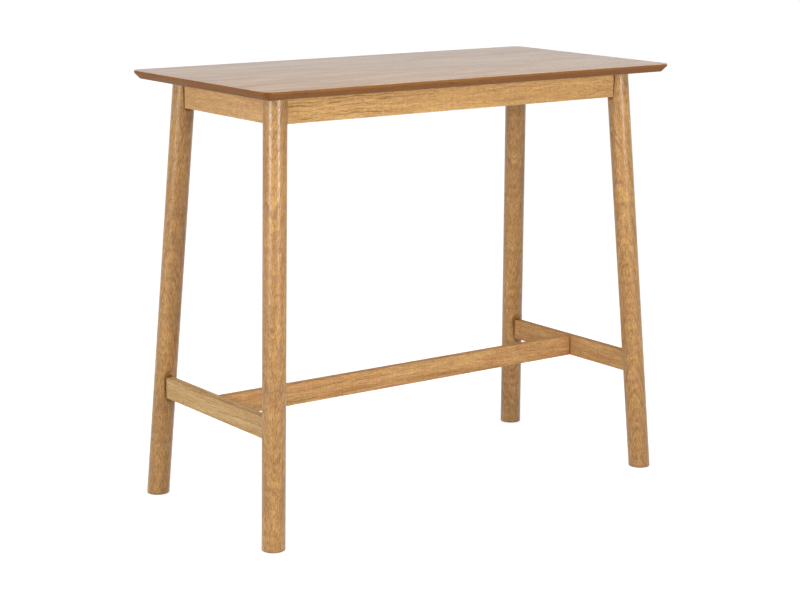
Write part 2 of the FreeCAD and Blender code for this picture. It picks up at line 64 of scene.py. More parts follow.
# Ways that fibres run in the top and the rails
ALONG_X = (1, 0, 0)
ALONG_Y = (0, 1, 0)

# Two points closer than this are one, in metres
MERGE = 2e-6
# Faces that meet at more than this angle have a sharp edge between them
SHARP = math.radians(24)
# How far a cutter runs past what it cuts
OVERRUN = 0.01


# Values a user would change

def length(name, description, default):
    return FloatProperty(name=name, description=description, default=default, min=0, unit="LENGTH",
                         precision=5)


def share(name, description, default):
    return FloatProperty(name=name, description=description, default=default, min=0, max=1,
                         subtype="FACTOR")


def amount(name, description, default):
    return FloatProperty(name=name, description=description, default=default, min=0)


def count(name, description, default):
    return IntProperty(name=name, description=description, default=default, min=1)


def angle(name, description, degrees):
    return FloatProperty(name=name, description=description, default=math.radians(degrees),
                         subtype="ANGLE")


def colour(name, description, *screen):
    """Colour property whose default is given as it shows on a screen, from 0 to 255."""
    return FloatVectorProperty(name=name, description=description, size=3, min=0, max=1,
                               subtype="COLOR", default=[to_linear(part / 255) for part in screen])


def to_linear(part):
    return part / 12.92 if part <= 0.04045 else ((part + 0.055) / 1.055) ** 2.4


def settings_of(name, kind):
    """Property that holds the settings of one kind, described as the kind is."""
    return PointerProperty(type=kind, name=name, description=kind.__doc__)


# What can be set on a wood: kind of value, name, description, and the plain hardwood's default
TRAITS = {
    "pale": (colour, "Pale", "Colour of the early wood", 212, 168, 100),
    "dark": (colour, "Dark", "Colour of the late wood", 176, 128, 70),
    "line": (colour, "Line", "Colour of the narrow line that ends a growth ring", 128, 86, 44),
    # The pore colour is also the colour that the painted shade in corners darkens towards
    "pore": (colour, "Pore", "Colour inside the open pores", 98, 62, 28),
    "end": (colour, "End grain", "Colour where the fibres are cut across", 134, 90, 44),
    "gleam": (colour, "Gleam", "Colour of the bright flecks", 240, 206, 148),
    "blush": (colour, "Blush", "Colour of the reddish streaks", 196, 138, 90),
    # Arris colour: wear, darker on the boards; paler on the veneer and the lippings, where it is a painted
    # highlight
    "worn_and_highlight": (colour, "Worn", "Colour of a rubbed arris", 160, 114, 64),
    "ring_width": (length, "Ring width", "Width of one growth ring", 0.008),
    "waviness": (amount, "Waviness", "How far the rings wander, in ring widths", 5),
    "pith_distance": (length, "Pith distance", "How far the heart of the log lies from the piece", 0.11),
    "pith_side": (angle, "Pith side", "Direction of the heart of the log, seen along the piece", 235),
    "pith_tilt": (angle, "Pith tilt", "Turn of the heart of the log against the piece", 1),
    "ring_tone": (share, "Ring tone", "How much the wood darkens through a ring", 0.35),
    "line_tone": (share, "Line tone", "How much the line that ends a ring shows", 0.5),
    "streak_tone": (share, "Streak tone", "How much the broken streaks along the grain show", 0.4),
    "patch_tone": (share, "Patch tone", "How much the broad uneven patches show", 0.5),
    "fibre_tone": (share, "Fibre tone", "How much the fibres show", 0.2),
    "fleck_tone": (share, "Fleck tone", "How much the flecks darken the wood", 0.4),
    "gleam_tone": (share, "Gleam tone", "How much the bright flecks lighten the wood", 0.35),
    "pore_tone": (share, "Pore tone", "How much the pores darken the wood", 0.5),
    "knot_tone": (share, "Knot tone", "How much the pin knots darken the wood", 0.7),
    "knot_cover": (share, "Knot cover", "Share of the places for pin knots that hold one", 0.06),
    "pore_length": (length, "Pore length", "Length of a pore along the fibres", 0.008),
    "pore_width": (length, "Pore width", "Width of a pore", 0.0007),
    "fleck_length": (length, "Fleck length", "Length of a fleck along the fibres", 0.016),
    "fleck_width": (length, "Fleck width", "Width of a fleck", 0.0028),
    "cover": (share, "Cover", "Share of the places for pores and flecks that hold one", 0.5),
    # Width and strength of the arris colour, which is a painted highlight where it is pale
    "rub_and_highlight_width": (length, "Rubbed width", "How far from an arris the wood is rubbed", 0.0012),
    "rub_and_highlight_tone": (share, "Rubbed tone", "How much a rubbed arris shows", 0.6),
    # Strength and reach of the painted shade in the corners between two pieces
    "painted_shade_tone": (share, "Joint tone", "How dark the corners between two pieces are", 0.8),
    "painted_shade_reach": (length, "Joint reach", "How far the shade reaches out of a corner", 0.01),
    "roughness": (share, "Roughness", "Roughness of the surface", 0.5),
    "gloss": (share, "Gloss", "Strength of the reflections", 0.25),
    "coat": (share, "Coat", "Weight of the clear coat", 0.0),
    "relief": (share, "Relief", "Strength of the bump of fibres and pores", 0.4),
}


def trait(key, *default):
    """Property for one trait of a wood, with this default or else the plain hardwood's."""
    kind, name, description, *plain = TRAITS[key]
    return kind(name, description, *(default or plain))


class WoodLook:
    """A plain hardwood; each wood below changes what differs"""
    # Blender finds the properties of a class in its annotations
    __annotations__ = {key: trait(key) for key in TRAITS}


class VeneerWood(WoodLook):
    """What the two oak veneers share"""
    leaf_width: length("Leaf width", "Width of one leaf of veneer", 0.3)
    pale: trait("pale", 202, 164, 122)
    dark: trait("dark", 137, 103, 69)
    line: trait("line", 128, 94, 62)
    pore: trait("pore", 104, 74, 46)
    end: trait("end", 122, 84, 50)
    gleam: trait("gleam", 214, 186, 150)
    blush: trait("blush", 152, 114, 82)
    # Near-white arris: a painted highlight along the edge of the top, with some wear
    worn_and_highlight: trait("worn_and_highlight", 238, 220, 194)
    ring_width: trait("ring_width", 0.006)
    pith_distance: trait("pith_distance", 0.6)
    pith_side: trait("pith_side", 8)
    ring_tone: trait("ring_tone", 0.5)
    line_tone: trait("line_tone", 0.6)
    streak_tone: trait("streak_tone", 0.75)
    patch_tone: trait("patch_tone", 0.7)
    fleck_tone: trait("fleck_tone", 0.12)
    gleam_tone: trait("gleam_tone", 0.1)
    knot_cover: trait("knot_cover", 0.0)
    # Wide and strong, for that painted highlight
    rub_and_highlight_width: trait("rub_and_highlight_width", 0.0022)
    rub_and_highlight_tone: trait("rub_and_highlight_tone", 0.9)
    painted_shade_tone: trait("painted_shade_tone", 0.5)
    roughness: trait("roughness", 0.7)
    gloss: trait("gloss", 0.1)


class FaceVeneerLook(VeneerWood, bpy.types.PropertyGroup):
    """Oak veneer on the face of the top, lacquered"""
    roughness: trait("roughness", 0.36)
    gloss: trait("gloss", 0.45)
    coat: trait("coat", 0.3)


class BackingVeneerLook(VeneerWood, bpy.types.PropertyGroup):
    """Oak veneer under the top, sealed and left matt"""


class CoreLook(WoodLook, bpy.types.PropertyGroup):
    """Softwood strips of the blockboard core"""
    leaf_width: length("Leaf width", "Width of one strip", 0.025)
    pale: trait("pale", 214, 184, 134)
    dark: trait("dark", 172, 134, 86)
    roughness: trait("roughness", 0.8)
    gloss: trait("gloss", 0.1)


class LippingLook(WoodLook, bpy.types.PropertyGroup):
    """Solid oak strips round the top, stained darker"""
    pale: trait("pale", 150, 102, 54)
    dark: trait("dark", 130, 84, 42)
    line: trait("line", 108, 66, 32)
    pore: trait("pore", 84, 48, 22)
    end: trait("end", 118, 62, 2)
    gleam: trait("gleam", 168, 122, 76)
    blush: trait("blush", 136, 84, 48)
    # Lighter arris: wear and a painted highlight
    worn_and_highlight: trait("worn_and_highlight", 170, 122, 74)
    ring_width: trait("ring_width", 0.004)
    fleck_tone: trait("fleck_tone", 0.25)
    gleam_tone: trait("gleam_tone", 0.2)
    pore_tone: trait("pore_tone", 0.35)
    knot_cover: trait("knot_cover", 0.0)
    rub_and_highlight_tone: trait("rub_and_highlight_tone", 0.4)
    gloss: trait("gloss", 0.11)


class LegLook(WoodLook, bpy.types.PropertyGroup):
    """Golden hardwood of the round legs"""
    pale: trait("pale", 218, 168, 91)
    dark: trait("dark", 159, 110, 48)
    line: trait("line", 104, 64, 20)
    pore: trait("pore", 84, 50, 16)
    end: trait("end", 176, 126, 66)
    gleam: trait("gleam", 234, 194, 122)
    blush: trait("blush", 184, 122, 64)
    ring_width: trait("ring_width", 0.003)
    pith_distance: trait("pith_distance", 0.055)
    pith_side: trait("pith_side", 147)
    pith_tilt: trait("pith_tilt", 5)
    line_tone: trait("line_tone", 0.45)
    patch_tone: trait("patch_tone", 0.4)
    fibre_tone: trait("fibre_tone", 0.5)
    fleck_tone: trait("fleck_tone", 0.65)
    gleam_tone: trait("gleam_tone", 0.3)
    pore_tone: trait("pore_tone", 0.6)
    knot_cover: trait("knot_cover", 0.25)
    pore_length: trait("pore_length", 0.02)
    pore_width: trait("pore_width", 0.0008)
    fleck_length: trait("fleck_length", 0.032)
    fleck_width: trait("fleck_width", 0.0013)
    cover: trait("cover", 0.6)
    # Strong painted shade in the corners beside the aprons and the stretchers
    painted_shade_tone: trait("painted_shade_tone", 0.85)
    painted_shade_reach: trait("painted_shade_reach", 0.012)
    roughness: trait("roughness", 0.37)
    gloss: trait("gloss", 0.5)
    coat: trait("coat", 0.3)
    relief: trait("relief", 0.6)


class LongApronLook(WoodLook, bpy.types.PropertyGroup):
    """Golden hardwood of the front and back aprons, with a lively figure"""
    pale: trait("pale", 238, 194, 126)
    dark: trait("dark", 192, 144, 88)
    line: trait("line", 134, 90, 46)
    blush: trait("blush", 210, 152, 96)
    line_tone: trait("line_tone", 0.75)
    fibre_tone: trait("fibre_tone", 0.35)


class ShortApronLook(WoodLook, bpy.types.PropertyGroup):
    """Golden hardwood of the side aprons, with a calm figure"""
    pale: trait("pale", 236, 194, 132)
    dark: trait("dark", 198, 150, 98)
    line: trait("line", 146, 102, 60)
    blush: trait("blush", 212, 154, 106)
    line_tone: trait("line_tone", 0.1)
    fibre_tone: trait("fibre_tone", 0.35)
    fleck_tone: trait("fleck_tone", 0.3)


class StretcherWood(WoodLook):
    """What the woods of the stretchers share"""
    pith_distance: trait("pith_distance", 0.14)
    fibre_tone: trait("fibre_tone", 0.35)
    fleck_tone: trait("fleck_tone", 0.3)
    gleam_tone: trait("gleam_tone", 0.3)
    roughness: trait("roughness", 0.68)
    gloss: trait("gloss", 0.1)


class StretcherLook(StretcherWood, bpy.types.PropertyGroup):
    """Golden hardwood of the long and the right stretcher, with long streaks"""
    pale: trait("pale", 230, 186, 124)
    dark: trait("dark", 186, 141, 90)
    blush: trait("blush", 200, 138, 90)
    streak_tone: trait("streak_tone", 0.65)


class PaintedLitStretcherLook(StretcherWood, bpy.types.PropertyGroup):
    """Paler copy of the stretcher wood for the left stretcher: painted light on the side that the key lamp
    lights
    """
    pale: trait("pale", 236, 202, 146)
    dark: trait("dark", 196, 156, 106)
    line: trait("line", 150, 110, 68)
    blush: trait("blush", 210, 160, 110)


class TopSizes(bpy.types.PropertyGroup):
    """Edge of the top"""
    corner_radius: length("Corner radius", "Radius of the corners in plan", 0.025)
    lipping_width: length("Lipping width", "Width of the solid strip round the core", 0.032)
    lip_height: length("Lip height", "Height of the upright edge above the bevel", 0.006)
    face_arris: length("Face arris", "Radius of the edge between the face and the lip", 0.001)
    bevel_arris: length("Bevel arris", "Radius of both edges of the bevel", 0.0009)
    corner_steps: count("Corner steps", "Facets in half a corner of the top", 12)
    arris_steps: count("Arris steps", "Facets in a rounded arris", 4)


class LegSizes(bpy.types.PropertyGroup):
    """Round legs with milled seats"""
    diameter: length("Diameter", "Diameter of a leg", 0.055)
    cutter_radius: length("Cutter radius", "Radius of the round ends of a milled seat", 0.025)
    foot_arris: length("Foot arris", "Radius of the edge of the foot", 0.0014)
    tenon: length("Tenon", "Length of a side stretcher's tenon in the leg", 0.02)
    level_step: length("Level step", "Height between two rings of the mesh", 0.02)
    run_out_steps: count("Run-out steps", "Rings in the round end of a seat", 16)


class BoardSizes(bpy.types.PropertyGroup):
    """Aprons and stretchers"""
    arris: length("Arris", "Radius of the long edges", 0.0013)
    end_arris: length("End arris", "Ease round the end of a board", 0.001)
    arris_steps: count("Arris steps", "Facets in a rounded arris", 4)
    recess_diameter: length("Recess diameter", "Diameter of the recess for a screw head", 0.011)
    kerf: length("Kerf", "Width of the saw cut that takes a bracket's hook", 0.0024)
    kerf_depth: length("Kerf depth", "Depth of the saw cut that takes a bracket's hook", 0.005)


class HardwareSizes(bpy.types.PropertyGroup):
    """Brackets and what holds them"""
    sheet: length("Sheet", "Thickness of a bracket", 0.002)
    reach: length("Reach", "Distance from the aprons' inner corner to the bend of a bracket", 0.044)
    wing: length("Wing", "Length of a bracket's wing along an apron", 0.032)
    bend_radius: length("Bend radius", "Inner radius of a bend in the sheet", 0.002)
    bolt_diameter: length("Bolt diameter", "Diameter of a hanger bolt", 0.008)
    bolt_in_leg: length("Bolt in leg", "Length of a bolt inside the leg", 0.034)
    bolt_beyond_nut: length("Bolt beyond nut", "Length of a bolt past its nut", 0.005)
    bolt_pitch: length("Bolt pitch", "Pitch of the bolt's thread", 0.00125)
    washer_diameter: length("Washer diameter", "Diameter of the washer under a nut", 0.018)
    washer_thickness: length("Washer thickness", "Thickness of the washer under a nut", 0.0016)
    nut_across_flats: length("Nut across flats", "Width of a nut across its flats", 0.013)
    nut_height: length("Nut height", "Height of a nut", 0.0065)
    screw_diameter: length("Screw diameter", "Diameter of a screw into the top", 0.0045)
    screw_pitch: length("Screw pitch", "Pitch of the screw's thread", 0.0022)
    screw_head: length("Screw head", "Diameter of a screw's head", 0.009)
    screw_head_height: length("Screw head height", "Height of a screw's head", 0.0028)
    screw_length: length("Screw length", "Length of a screw below its head", 0.04)
    glide_diameter: length("Glide diameter", "Diameter of the felt glide under a foot", 0.038)
    glide_arris: length("Glide arris", "Radius of a glide's rim", 0.0007)


class HardwareLook(bpy.types.PropertyGroup):
    """Colours of what isn't wood"""
    steel: colour("Steel", "Colour of the zinc plated steel", 198, 200, 202)
    # The stain colour is also the colour of the painted shade in the steel's corners
    steel_stain_and_shade: colour("Stain", "Colour of the dull patches in the plating", 150, 152, 158)
    felt: colour("Felt", "Colour of the glides' felt", 84, 68, 54)
    felt_fibre: colour("Fibre", "Colour of the felt's loose fibres", 126, 108, 90)


class StageSettings(bpy.types.PropertyGroup):
    """Camera, lamps and floor"""
    camera_place: FloatVectorProperty(name="Camera place", description="Where the camera stands",
                                      size=3, unit="LENGTH", default=(-2.8968, -3.8890, 1.5200))
    camera_yaw: angle("Camera yaw", "Turn of the camera to the right of the depth axis", 36.515)
    camera_pitch: angle("Camera pitch", "Tilt of the camera below level", 12.256)
    camera_roll: angle("Camera roll", "Roll of the camera", 0.327)
    camera_lens: FloatProperty(name="Lens", description="Focal length in millimetres on a 36 mm sensor",
                               default=89.191, min=1)
    surround: amount("Surround", "Strength of the even light from all round", 0.45)
    key_power: amount("Key power", "Power of the wide lamp on the left, in watts", 12.5)
    fill_power: amount("Fill power", "Power of the wide lamp in front, in watts", 11.5)
    overhead_power: amount("Overhead power", "Power of the lamp overhead, in watts", 46)
    floor: colour("Floor", "Colour of the floor", 206, 206, 205)
    floor_glow: amount("Floor glow", "Light that the floor shows and gives to nothing", 0.72)


class BarTableSettings(bpy.types.PropertyGroup):
    """Everything that can be set on the table"""
    face_veneer: settings_of("Face veneer", FaceVeneerLook)
    backing_veneer: settings_of("Backing veneer", BackingVeneerLook)
    core_wood: settings_of("Core wood", CoreLook)
    lipping_wood: settings_of("Lipping wood", LippingLook)
    leg_wood: settings_of("Leg wood", LegLook)
    long_apron_wood: settings_of("Long apron wood", LongApronLook)
    short_apron_wood: settings_of("Short apron wood", ShortApronLook)
    stretcher_wood: settings_of("Stretcher wood", StretcherLook)
    # Painted light: a paler copy of the stretcher wood for the left stretcher
    pale_stretcher_wood: settings_of("Pale stretcher wood", PaintedLitStretcherLook)
    top: settings_of("Top", TopSizes)
    leg: settings_of("Leg", LegSizes)
    board: settings_of("Board", BoardSizes)
    hardware: settings_of("Hardware", HardwareSizes)
    finish: settings_of("Finish", HardwareLook)
    stage: settings_of("Stage", StageSettings)


# Shader nodes

def connect(tree, sockets, sources):
    """Fill sockets, found by name or number, with values or with other nodes' outputs."""
    for name, source in sources.items():
        if isinstance(source, bpy.types.NodeSocket):
            tree.links.new(source, sockets[name])
        else:
            sockets[name].default_value = source


def add_node(tree, kind, inputs=None, **settings):
    """Add a node with these settings and fill its inputs."""
    new = tree.nodes.new(kind)
    for name, setting in settings.items():
        setattr(new, name, setting)
    connect(tree, new.inputs, inputs or {})
    return new


def calculate(tree, operation, first, second=0.0, clamp=False):
    return add_node(tree, "ShaderNodeMath", {0: first, 1: second}, operation=operation,
                    use_clamp=clamp).outputs[0]


def add(tree, first, second, clamp=False):
    return calculate(tree, "ADD", first, second, clamp)


def subtract(tree, first, second):
    return calculate(tree, "SUBTRACT", first, second)


def multiply(tree, first, second):
    return calculate(tree, "MULTIPLY", first, second)


def divide(tree, first, second):
    return calculate(tree, "DIVIDE", first, second)


def vector_math(tree, operation, *vectors):
    """Vector, or for a length or a dot product the number, that the operation gives."""
    node = add_node(tree, "ShaderNodeVectorMath", dict(enumerate(vectors)), operation=operation)
    return node.outputs["Value" if operation in ("LENGTH", "DOT_PRODUCT") else "Vector"]


def reshape(tree, value, low, high, to_low=0.0, to_high=1.0):
    """Map a value from low and high to another pair, smoothly and no further."""
    return add_node(tree, "ShaderNodeMapRange", {0: value, 1: low, 2: high, 3: to_low, 4: to_high},
                    interpolation_type="SMOOTHSTEP").outputs[0]


def stretch(tree, vector, x, y, z):
    """Multiply the parts of a vector."""
    scale = add_node(tree, "ShaderNodeCombineXYZ", {0: x, 1: y, 2: z}).outputs[0]
    return vector_math(tree, "MULTIPLY", vector, scale)


def noise(tree, vector, scale=1.0, detail=2.0, roughness=0.5):
    return add_node(tree, "ShaderNodeTexNoise", {"Vector": vector, "Scale": scale, "Detail": detail,
                                                 "Roughness": roughness}).outputs[0]


def fibre_noise(tree, vector, along, across, detail=2.0, roughness=0.5):
    """Noise drawn out along X, by the features that a metre holds along and across the fibres."""
    return noise(tree, stretch(tree, vector, along, across, across), detail=detail, roughness=roughness)


def random_cells(tree, vector, scale=1.0, channel=0):
    """Distance from the middle of a random cell, and a number that is the cell's own."""
    cells = add_node(tree, "ShaderNodeTexVoronoi", {"Vector": vector, "Scale": scale}).outputs
    chance = add_node(tree, "ShaderNodeSeparateColor", {0: cells["Color"]}).outputs[channel]
    return cells["Distance"], chance


def blend_floats(tree, factor, first, second):
    return add_node(tree, "ShaderNodeMix", {0: factor, 2: first, 3: second}, data_type="FLOAT").outputs[0]


def blend_colours(tree, factor, first, second):
    return add_node(tree, "ShaderNodeMix", {0: factor, 6: first, 7: second}, data_type="RGBA").outputs[2]


def opaque(rgb):
    return (*rgb, 1.0)


def tint(tree, shade, mask, strength, target):
    """Move a shade towards a target colour where the mask is."""
    return blend_colours(tree, multiply(tree, mask, strength), shade, opaque(target))


# Shared effects

# Sockets of a group that carry vectors; all others carry numbers
VECTOR_SOCKETS = ("Vector", "Normal", "Axis")
# Rays that the rounded normals and the painted joint shade are averaged over
EFFECT_SAMPLES = 6


def new_group(name, inputs, outputs):
    """Shader node group with named sockets; gives its tree and its two inner ends."""
    group = bpy.data.node_groups.new(name, "ShaderNodeTree")
    for labels, way in ((inputs, "INPUT"), (outputs, "OUTPUT")):
        for label in labels:
            kind = "NodeSocketVector" if label in VECTOR_SOCKETS else "NodeSocketFloat"
            group.interface.new_socket(label, in_out=way, socket_type=kind)
    return group, group.nodes.new("NodeGroupInput").outputs, group.nodes.new("NodeGroupOutput").inputs


def make_timber_figure():
    """Growth rings round a pith along X, the line that ends each, and what runs along the fibres."""
    tree, given, result = new_group("Timber figure", ("Vector", "Ring Width", "Waviness"),
                                    ("Rings", "Lines", "Streaks", "Fibres", "Patches"))
    place, waviness = given["Vector"], given["Waviness"]
    drift = fibre_noise(tree, place, along=3.2, across=9.0, detail=3.0)
    ripple = fibre_noise(tree, place, along=22.0, across=60.0)
    wander = multiply(tree, subtract(tree, drift, 0.5), waviness)
    shiver = multiply(tree, subtract(tree, ripple, 0.5), multiply(tree, waviness, 0.22))
    radius = vector_math(tree, "LENGTH", stretch(tree, place, 0.0, 1.0, 1.0))
    bent = add(tree, radius, add(tree, wander, shiver))
    turns = divide(tree, bent, given["Ring Width"])
    years = add_node(tree, "ShaderNodeTexNoise", {"W": turns, "Scale": 0.7, "Detail": 2.0},
                     noise_dimensions="1D").outputs[0]
    within = calculate(tree, "FRACT", add(tree, turns, multiply(tree, years, 1.6)))
    late = multiply(tree, reshape(tree, within, 0.6, 0.92), reshape(tree, within, 1.0, 0.96))
    broken = fibre_noise(tree, place, along=11.0, across=90.0)
    lively = fibre_noise(tree, place, along=2.2, across=8.0, detail=1.0)
    shown = multiply(tree, reshape(tree, broken, 0.36, 0.58), reshape(tree, lively, 0.36, 0.56))
    streaks = fibre_noise(tree, place, along=8.0, across=120.0, detail=3.0, roughness=0.6)
    fibres = fibre_noise(tree, place, along=32.0, across=460.0, detail=4.0, roughness=0.65)
    patches = fibre_noise(tree, place, along=3.0, across=26.0, detail=4.0, roughness=0.55)
    connect(tree, result, {"Rings": reshape(tree, years, 0.3, 0.7),
                           "Lines": multiply(tree, late, shown),
                           "Streaks": reshape(tree, streaks, 0.34, 0.66),
                           "Fibres": reshape(tree, fibres, 0.36, 0.64),
                           "Patches": reshape(tree, patches, 0.33, 0.67)})
    return tree


def make_pore_dashes():
    """Short slits along X, one in each of a share of random cells."""
    tree, given, result = new_group("Pore dashes", ("Vector", "Length", "Width", "Cover"), ("Dashes",))
    narrow = divide(tree, 1.0, given["Width"])
    place = stretch(tree, given["Vector"], divide(tree, 1.0, given["Length"]), narrow, narrow)
    distance, chance = random_cells(tree, place)
    near = reshape(tree, distance, 0.22, 0.46, 1.0, 0.0)
    kept = calculate(tree, "LESS_THAN", chance, given["Cover"])
    connect(tree, result, {"Dashes": multiply(tree, near, kept)})
    return tree


def make_pin_knots():
    """Small round knots, one in each of a share of random cells."""
    tree, given, result = new_group("Pin knots", ("Vector", "Spacing", "Size", "Cover"), ("Knots",))
    dense = divide(tree, 1.0, given["Spacing"])
    distance, chance = random_cells(tree, stretch(tree, given["Vector"], dense, dense, dense), channel=1)
    radius = multiply(tree, given["Size"], multiply(tree, dense, 0.5))
    near = reshape(tree, distance, multiply(tree, radius, 0.5), radius, 1.0, 0.0)
    kept = calculate(tree, "LESS_THAN", chance, given["Cover"])
    connect(tree, result, {"Knots": multiply(tree, near, kept)})
    return tree


def make_rubbed_and_highlit_edges():
    """Mask along an outer arris, which stands for rubbed wear and on some woods for a painted highlight,
    and the normal that rounds it.
    """
    tree, given, result = new_group("Rubbed and highlit edges", ("Vector", "Radius", "Breakup"), ("Edge", "Normal"))
    rounded = add_node(tree, "ShaderNodeBevel", {"Radius": given["Radius"]},
                       samples=EFFECT_SAMPLES).outputs[0]
    flat = add_node(tree, "ShaderNodeNewGeometry").outputs["Normal"]
    edge = reshape(tree, vector_math(tree, "DOT_PRODUCT", rounded, flat), 0.76, 0.95, 1.0, 0.0)
    spots = reshape(tree, noise(tree, given["Vector"], scale=70.0, detail=3.0, roughness=0.6), 0.3, 0.62)
    patchy = blend_floats(tree, given["Breakup"], 1.0, spots)
    connect(tree, result, {"Edge": multiply(tree, edge, patchy), "Normal": rounded})
    return tree


def make_painted_joint_shade():
    """Painted shade in the corners where two pieces meet."""
    tree, given, result = new_group("Painted joint shade", ("Distance",), ("Shade",))
    openness = add_node(tree, "ShaderNodeAmbientOcclusion", {"Distance": given["Distance"]},
                        samples=EFFECT_SAMPLES).outputs["AO"]
    connect(tree, result, {"Shade": reshape(tree, openness, 0.45, 0.82, 1.0, 0.0)})
    return tree


def make_end_grain():
    """How squarely the surface cuts the fibres, which run along Axis."""
    tree, given, result = new_group("End grain", ("Axis",), ("Cut",))
    normal = add_node(tree, "ShaderNodeTexCoord").outputs["Normal"]
    squareness = calculate(tree, "ABSOLUTE", vector_math(tree, "DOT_PRODUCT", normal, given["Axis"]))
    connect(tree, result, {"Cut": reshape(tree, squareness, 0.22, 0.62)})
    return tree


def make_lacquer_film():
    """Uneven gloss of a rubbed lacquer and the faint ripple of its surface."""
    tree, given, result = new_group("Lacquer film", ("Vector", "Roughness", "Pores"),
                                    ("Roughness", "Height"))
    smears = fibre_noise(tree, given["Vector"], along=9.0, across=34.0, detail=4.0, roughness=0.6)
    uneven = multiply(tree, subtract(tree, smears, 0.5), 0.16)
    dull = multiply(tree, given["Pores"], 0.16)
    ripple = fibre_noise(tree, given["Vector"], along=120.0, across=420.0)
    sunk = multiply(tree, given["Pores"], -0.7)
    roughness = add(tree, given["Roughness"], add(tree, uneven, dull), clamp=True)
    height = add(tree, multiply(tree, ripple, 0.3), sunk)
    connect(tree, result, {"Roughness": roughness, "Height": height})
    return tree


def make_veneer_leaves():
    """Leaves side by side from the middle: a tone for each, the joints, and a vector shifted by leaf."""
    tree, given, result = new_group("Veneer leaves", ("Vector", "Leaf Width", "Middle"),
                                    ("Tone", "Joint", "Vector"))
    across = add_node(tree, "ShaderNodeSeparateXYZ", {0: given["Vector"]}).outputs[1]
    place = divide(tree, subtract(tree, across, given["Middle"]), given["Leaf Width"])
    leaf = calculate(tree, "FLOOR", place)
    tone = add_node(tree, "ShaderNodeTexWhiteNoise", {"W": leaf}, noise_dimensions="1D").outputs["Value"]
    from_middle = calculate(tree, "ABSOLUTE", subtract(tree, calculate(tree, "FRACT", place), 0.5))
    shift = add_node(tree, "ShaderNodeCombineXYZ", {0: multiply(tree, tone, 3.7),
                                                    1: multiply(tree, tone, 0.31)}).outputs[0]
    connect(tree, result, {"Tone": tone,
                           "Joint": reshape(tree, from_middle, 0.49, 0.497),
                           "Vector": vector_math(tree, "ADD", given["Vector"], shift)})
    return tree


GROUPS = {
    "Timber figure": make_timber_figure,
    "Pore dashes": make_pore_dashes,
    "Pin knots": make_pin_knots,
    "Rubbed and highlit edges": make_rubbed_and_highlit_edges,
    "Painted joint shade": make_painted_joint_shade,
    "End grain": make_end_grain,
    "Lacquer film": make_lacquer_film,
    "Veneer leaves": make_veneer_leaves,
}


def place_group(tree, name, **inputs):
    """Outputs of a shared group, which is built the first time it is asked for."""
    group = bpy.data.node_groups.get(name) or GROUPS[name]()
    node = add_node(tree, "ShaderNodeGroup", node_tree=group)
    connect(tree, node.inputs, {label.replace("_", " "): source for label, source in inputs.items()})
    return node.outputs


# Materials

# Largest random turn of the heart of the log round a piece, and the stretch of log that pieces come from
PITH_SWING = 0.35
LOG_STRETCH = (1, 9)
# How much a leaf of veneer differs in tone, and how much the joint between two leaves shows
LEAF_TONE = 0.25
LEAF_JOINT_TONE = 0.3
# Length, width and cover of the bright flecks, as shares of the dark flecks'
GLEAM_LENGTH = 0.8
GLEAM_WIDTH = 0.7
GLEAM_COVER = 0.7
# Distance between the places for pin knots, and the diameter of a knot
KNOT_SPACING = 0.025
KNOT_SIZE = 0.0026
# How much a cut end takes on its own colour
END_TONE = 0.85
# Depth of the bump of fibres and pores
RELIEF_DEPTH = 0.0003
COAT_ROUGHNESS = 0.25
# Name of the steel, which differs from the names of the frame's plain materials
STEEL = "zinc_plating"


def new_material(name):
    """Empty node material; gives it with its tree and its shader."""
    material = bpy.data.materials.new(name)
    material.use_nodes = True
    tree = material.node_tree
    return material, tree, tree.nodes["Principled BSDF"]


def grain_vector(tree, axis, middle, heart, start, tilt):
    """Place in the log in metres: the fibres run along X, start is where the piece's middle lies, heart is
    the way from the heart of the log to that middle, and tilt turns the log against the piece."""
    turn = Euler((0, tilt, tilt)).to_quaternion() @ Vector(axis).rotation_difference(Vector(ALONG_X))
    offset = Vector((start, *heart)) - turn @ Vector(middle)
    place = add_node(tree, "ShaderNodeTexCoord").outputs["Object"]
    return add_node(tree, "ShaderNodeMapping", {"Vector": place, "Location": offset,
                                                "Rotation": turn.to_euler()}).outputs[0]


def dashes(tree, grain, dash_length, width, cover):
    return place_group(tree, "Pore dashes", Vector=grain, Length=dash_length, Width=width,
                       Cover=cover)["Dashes"]


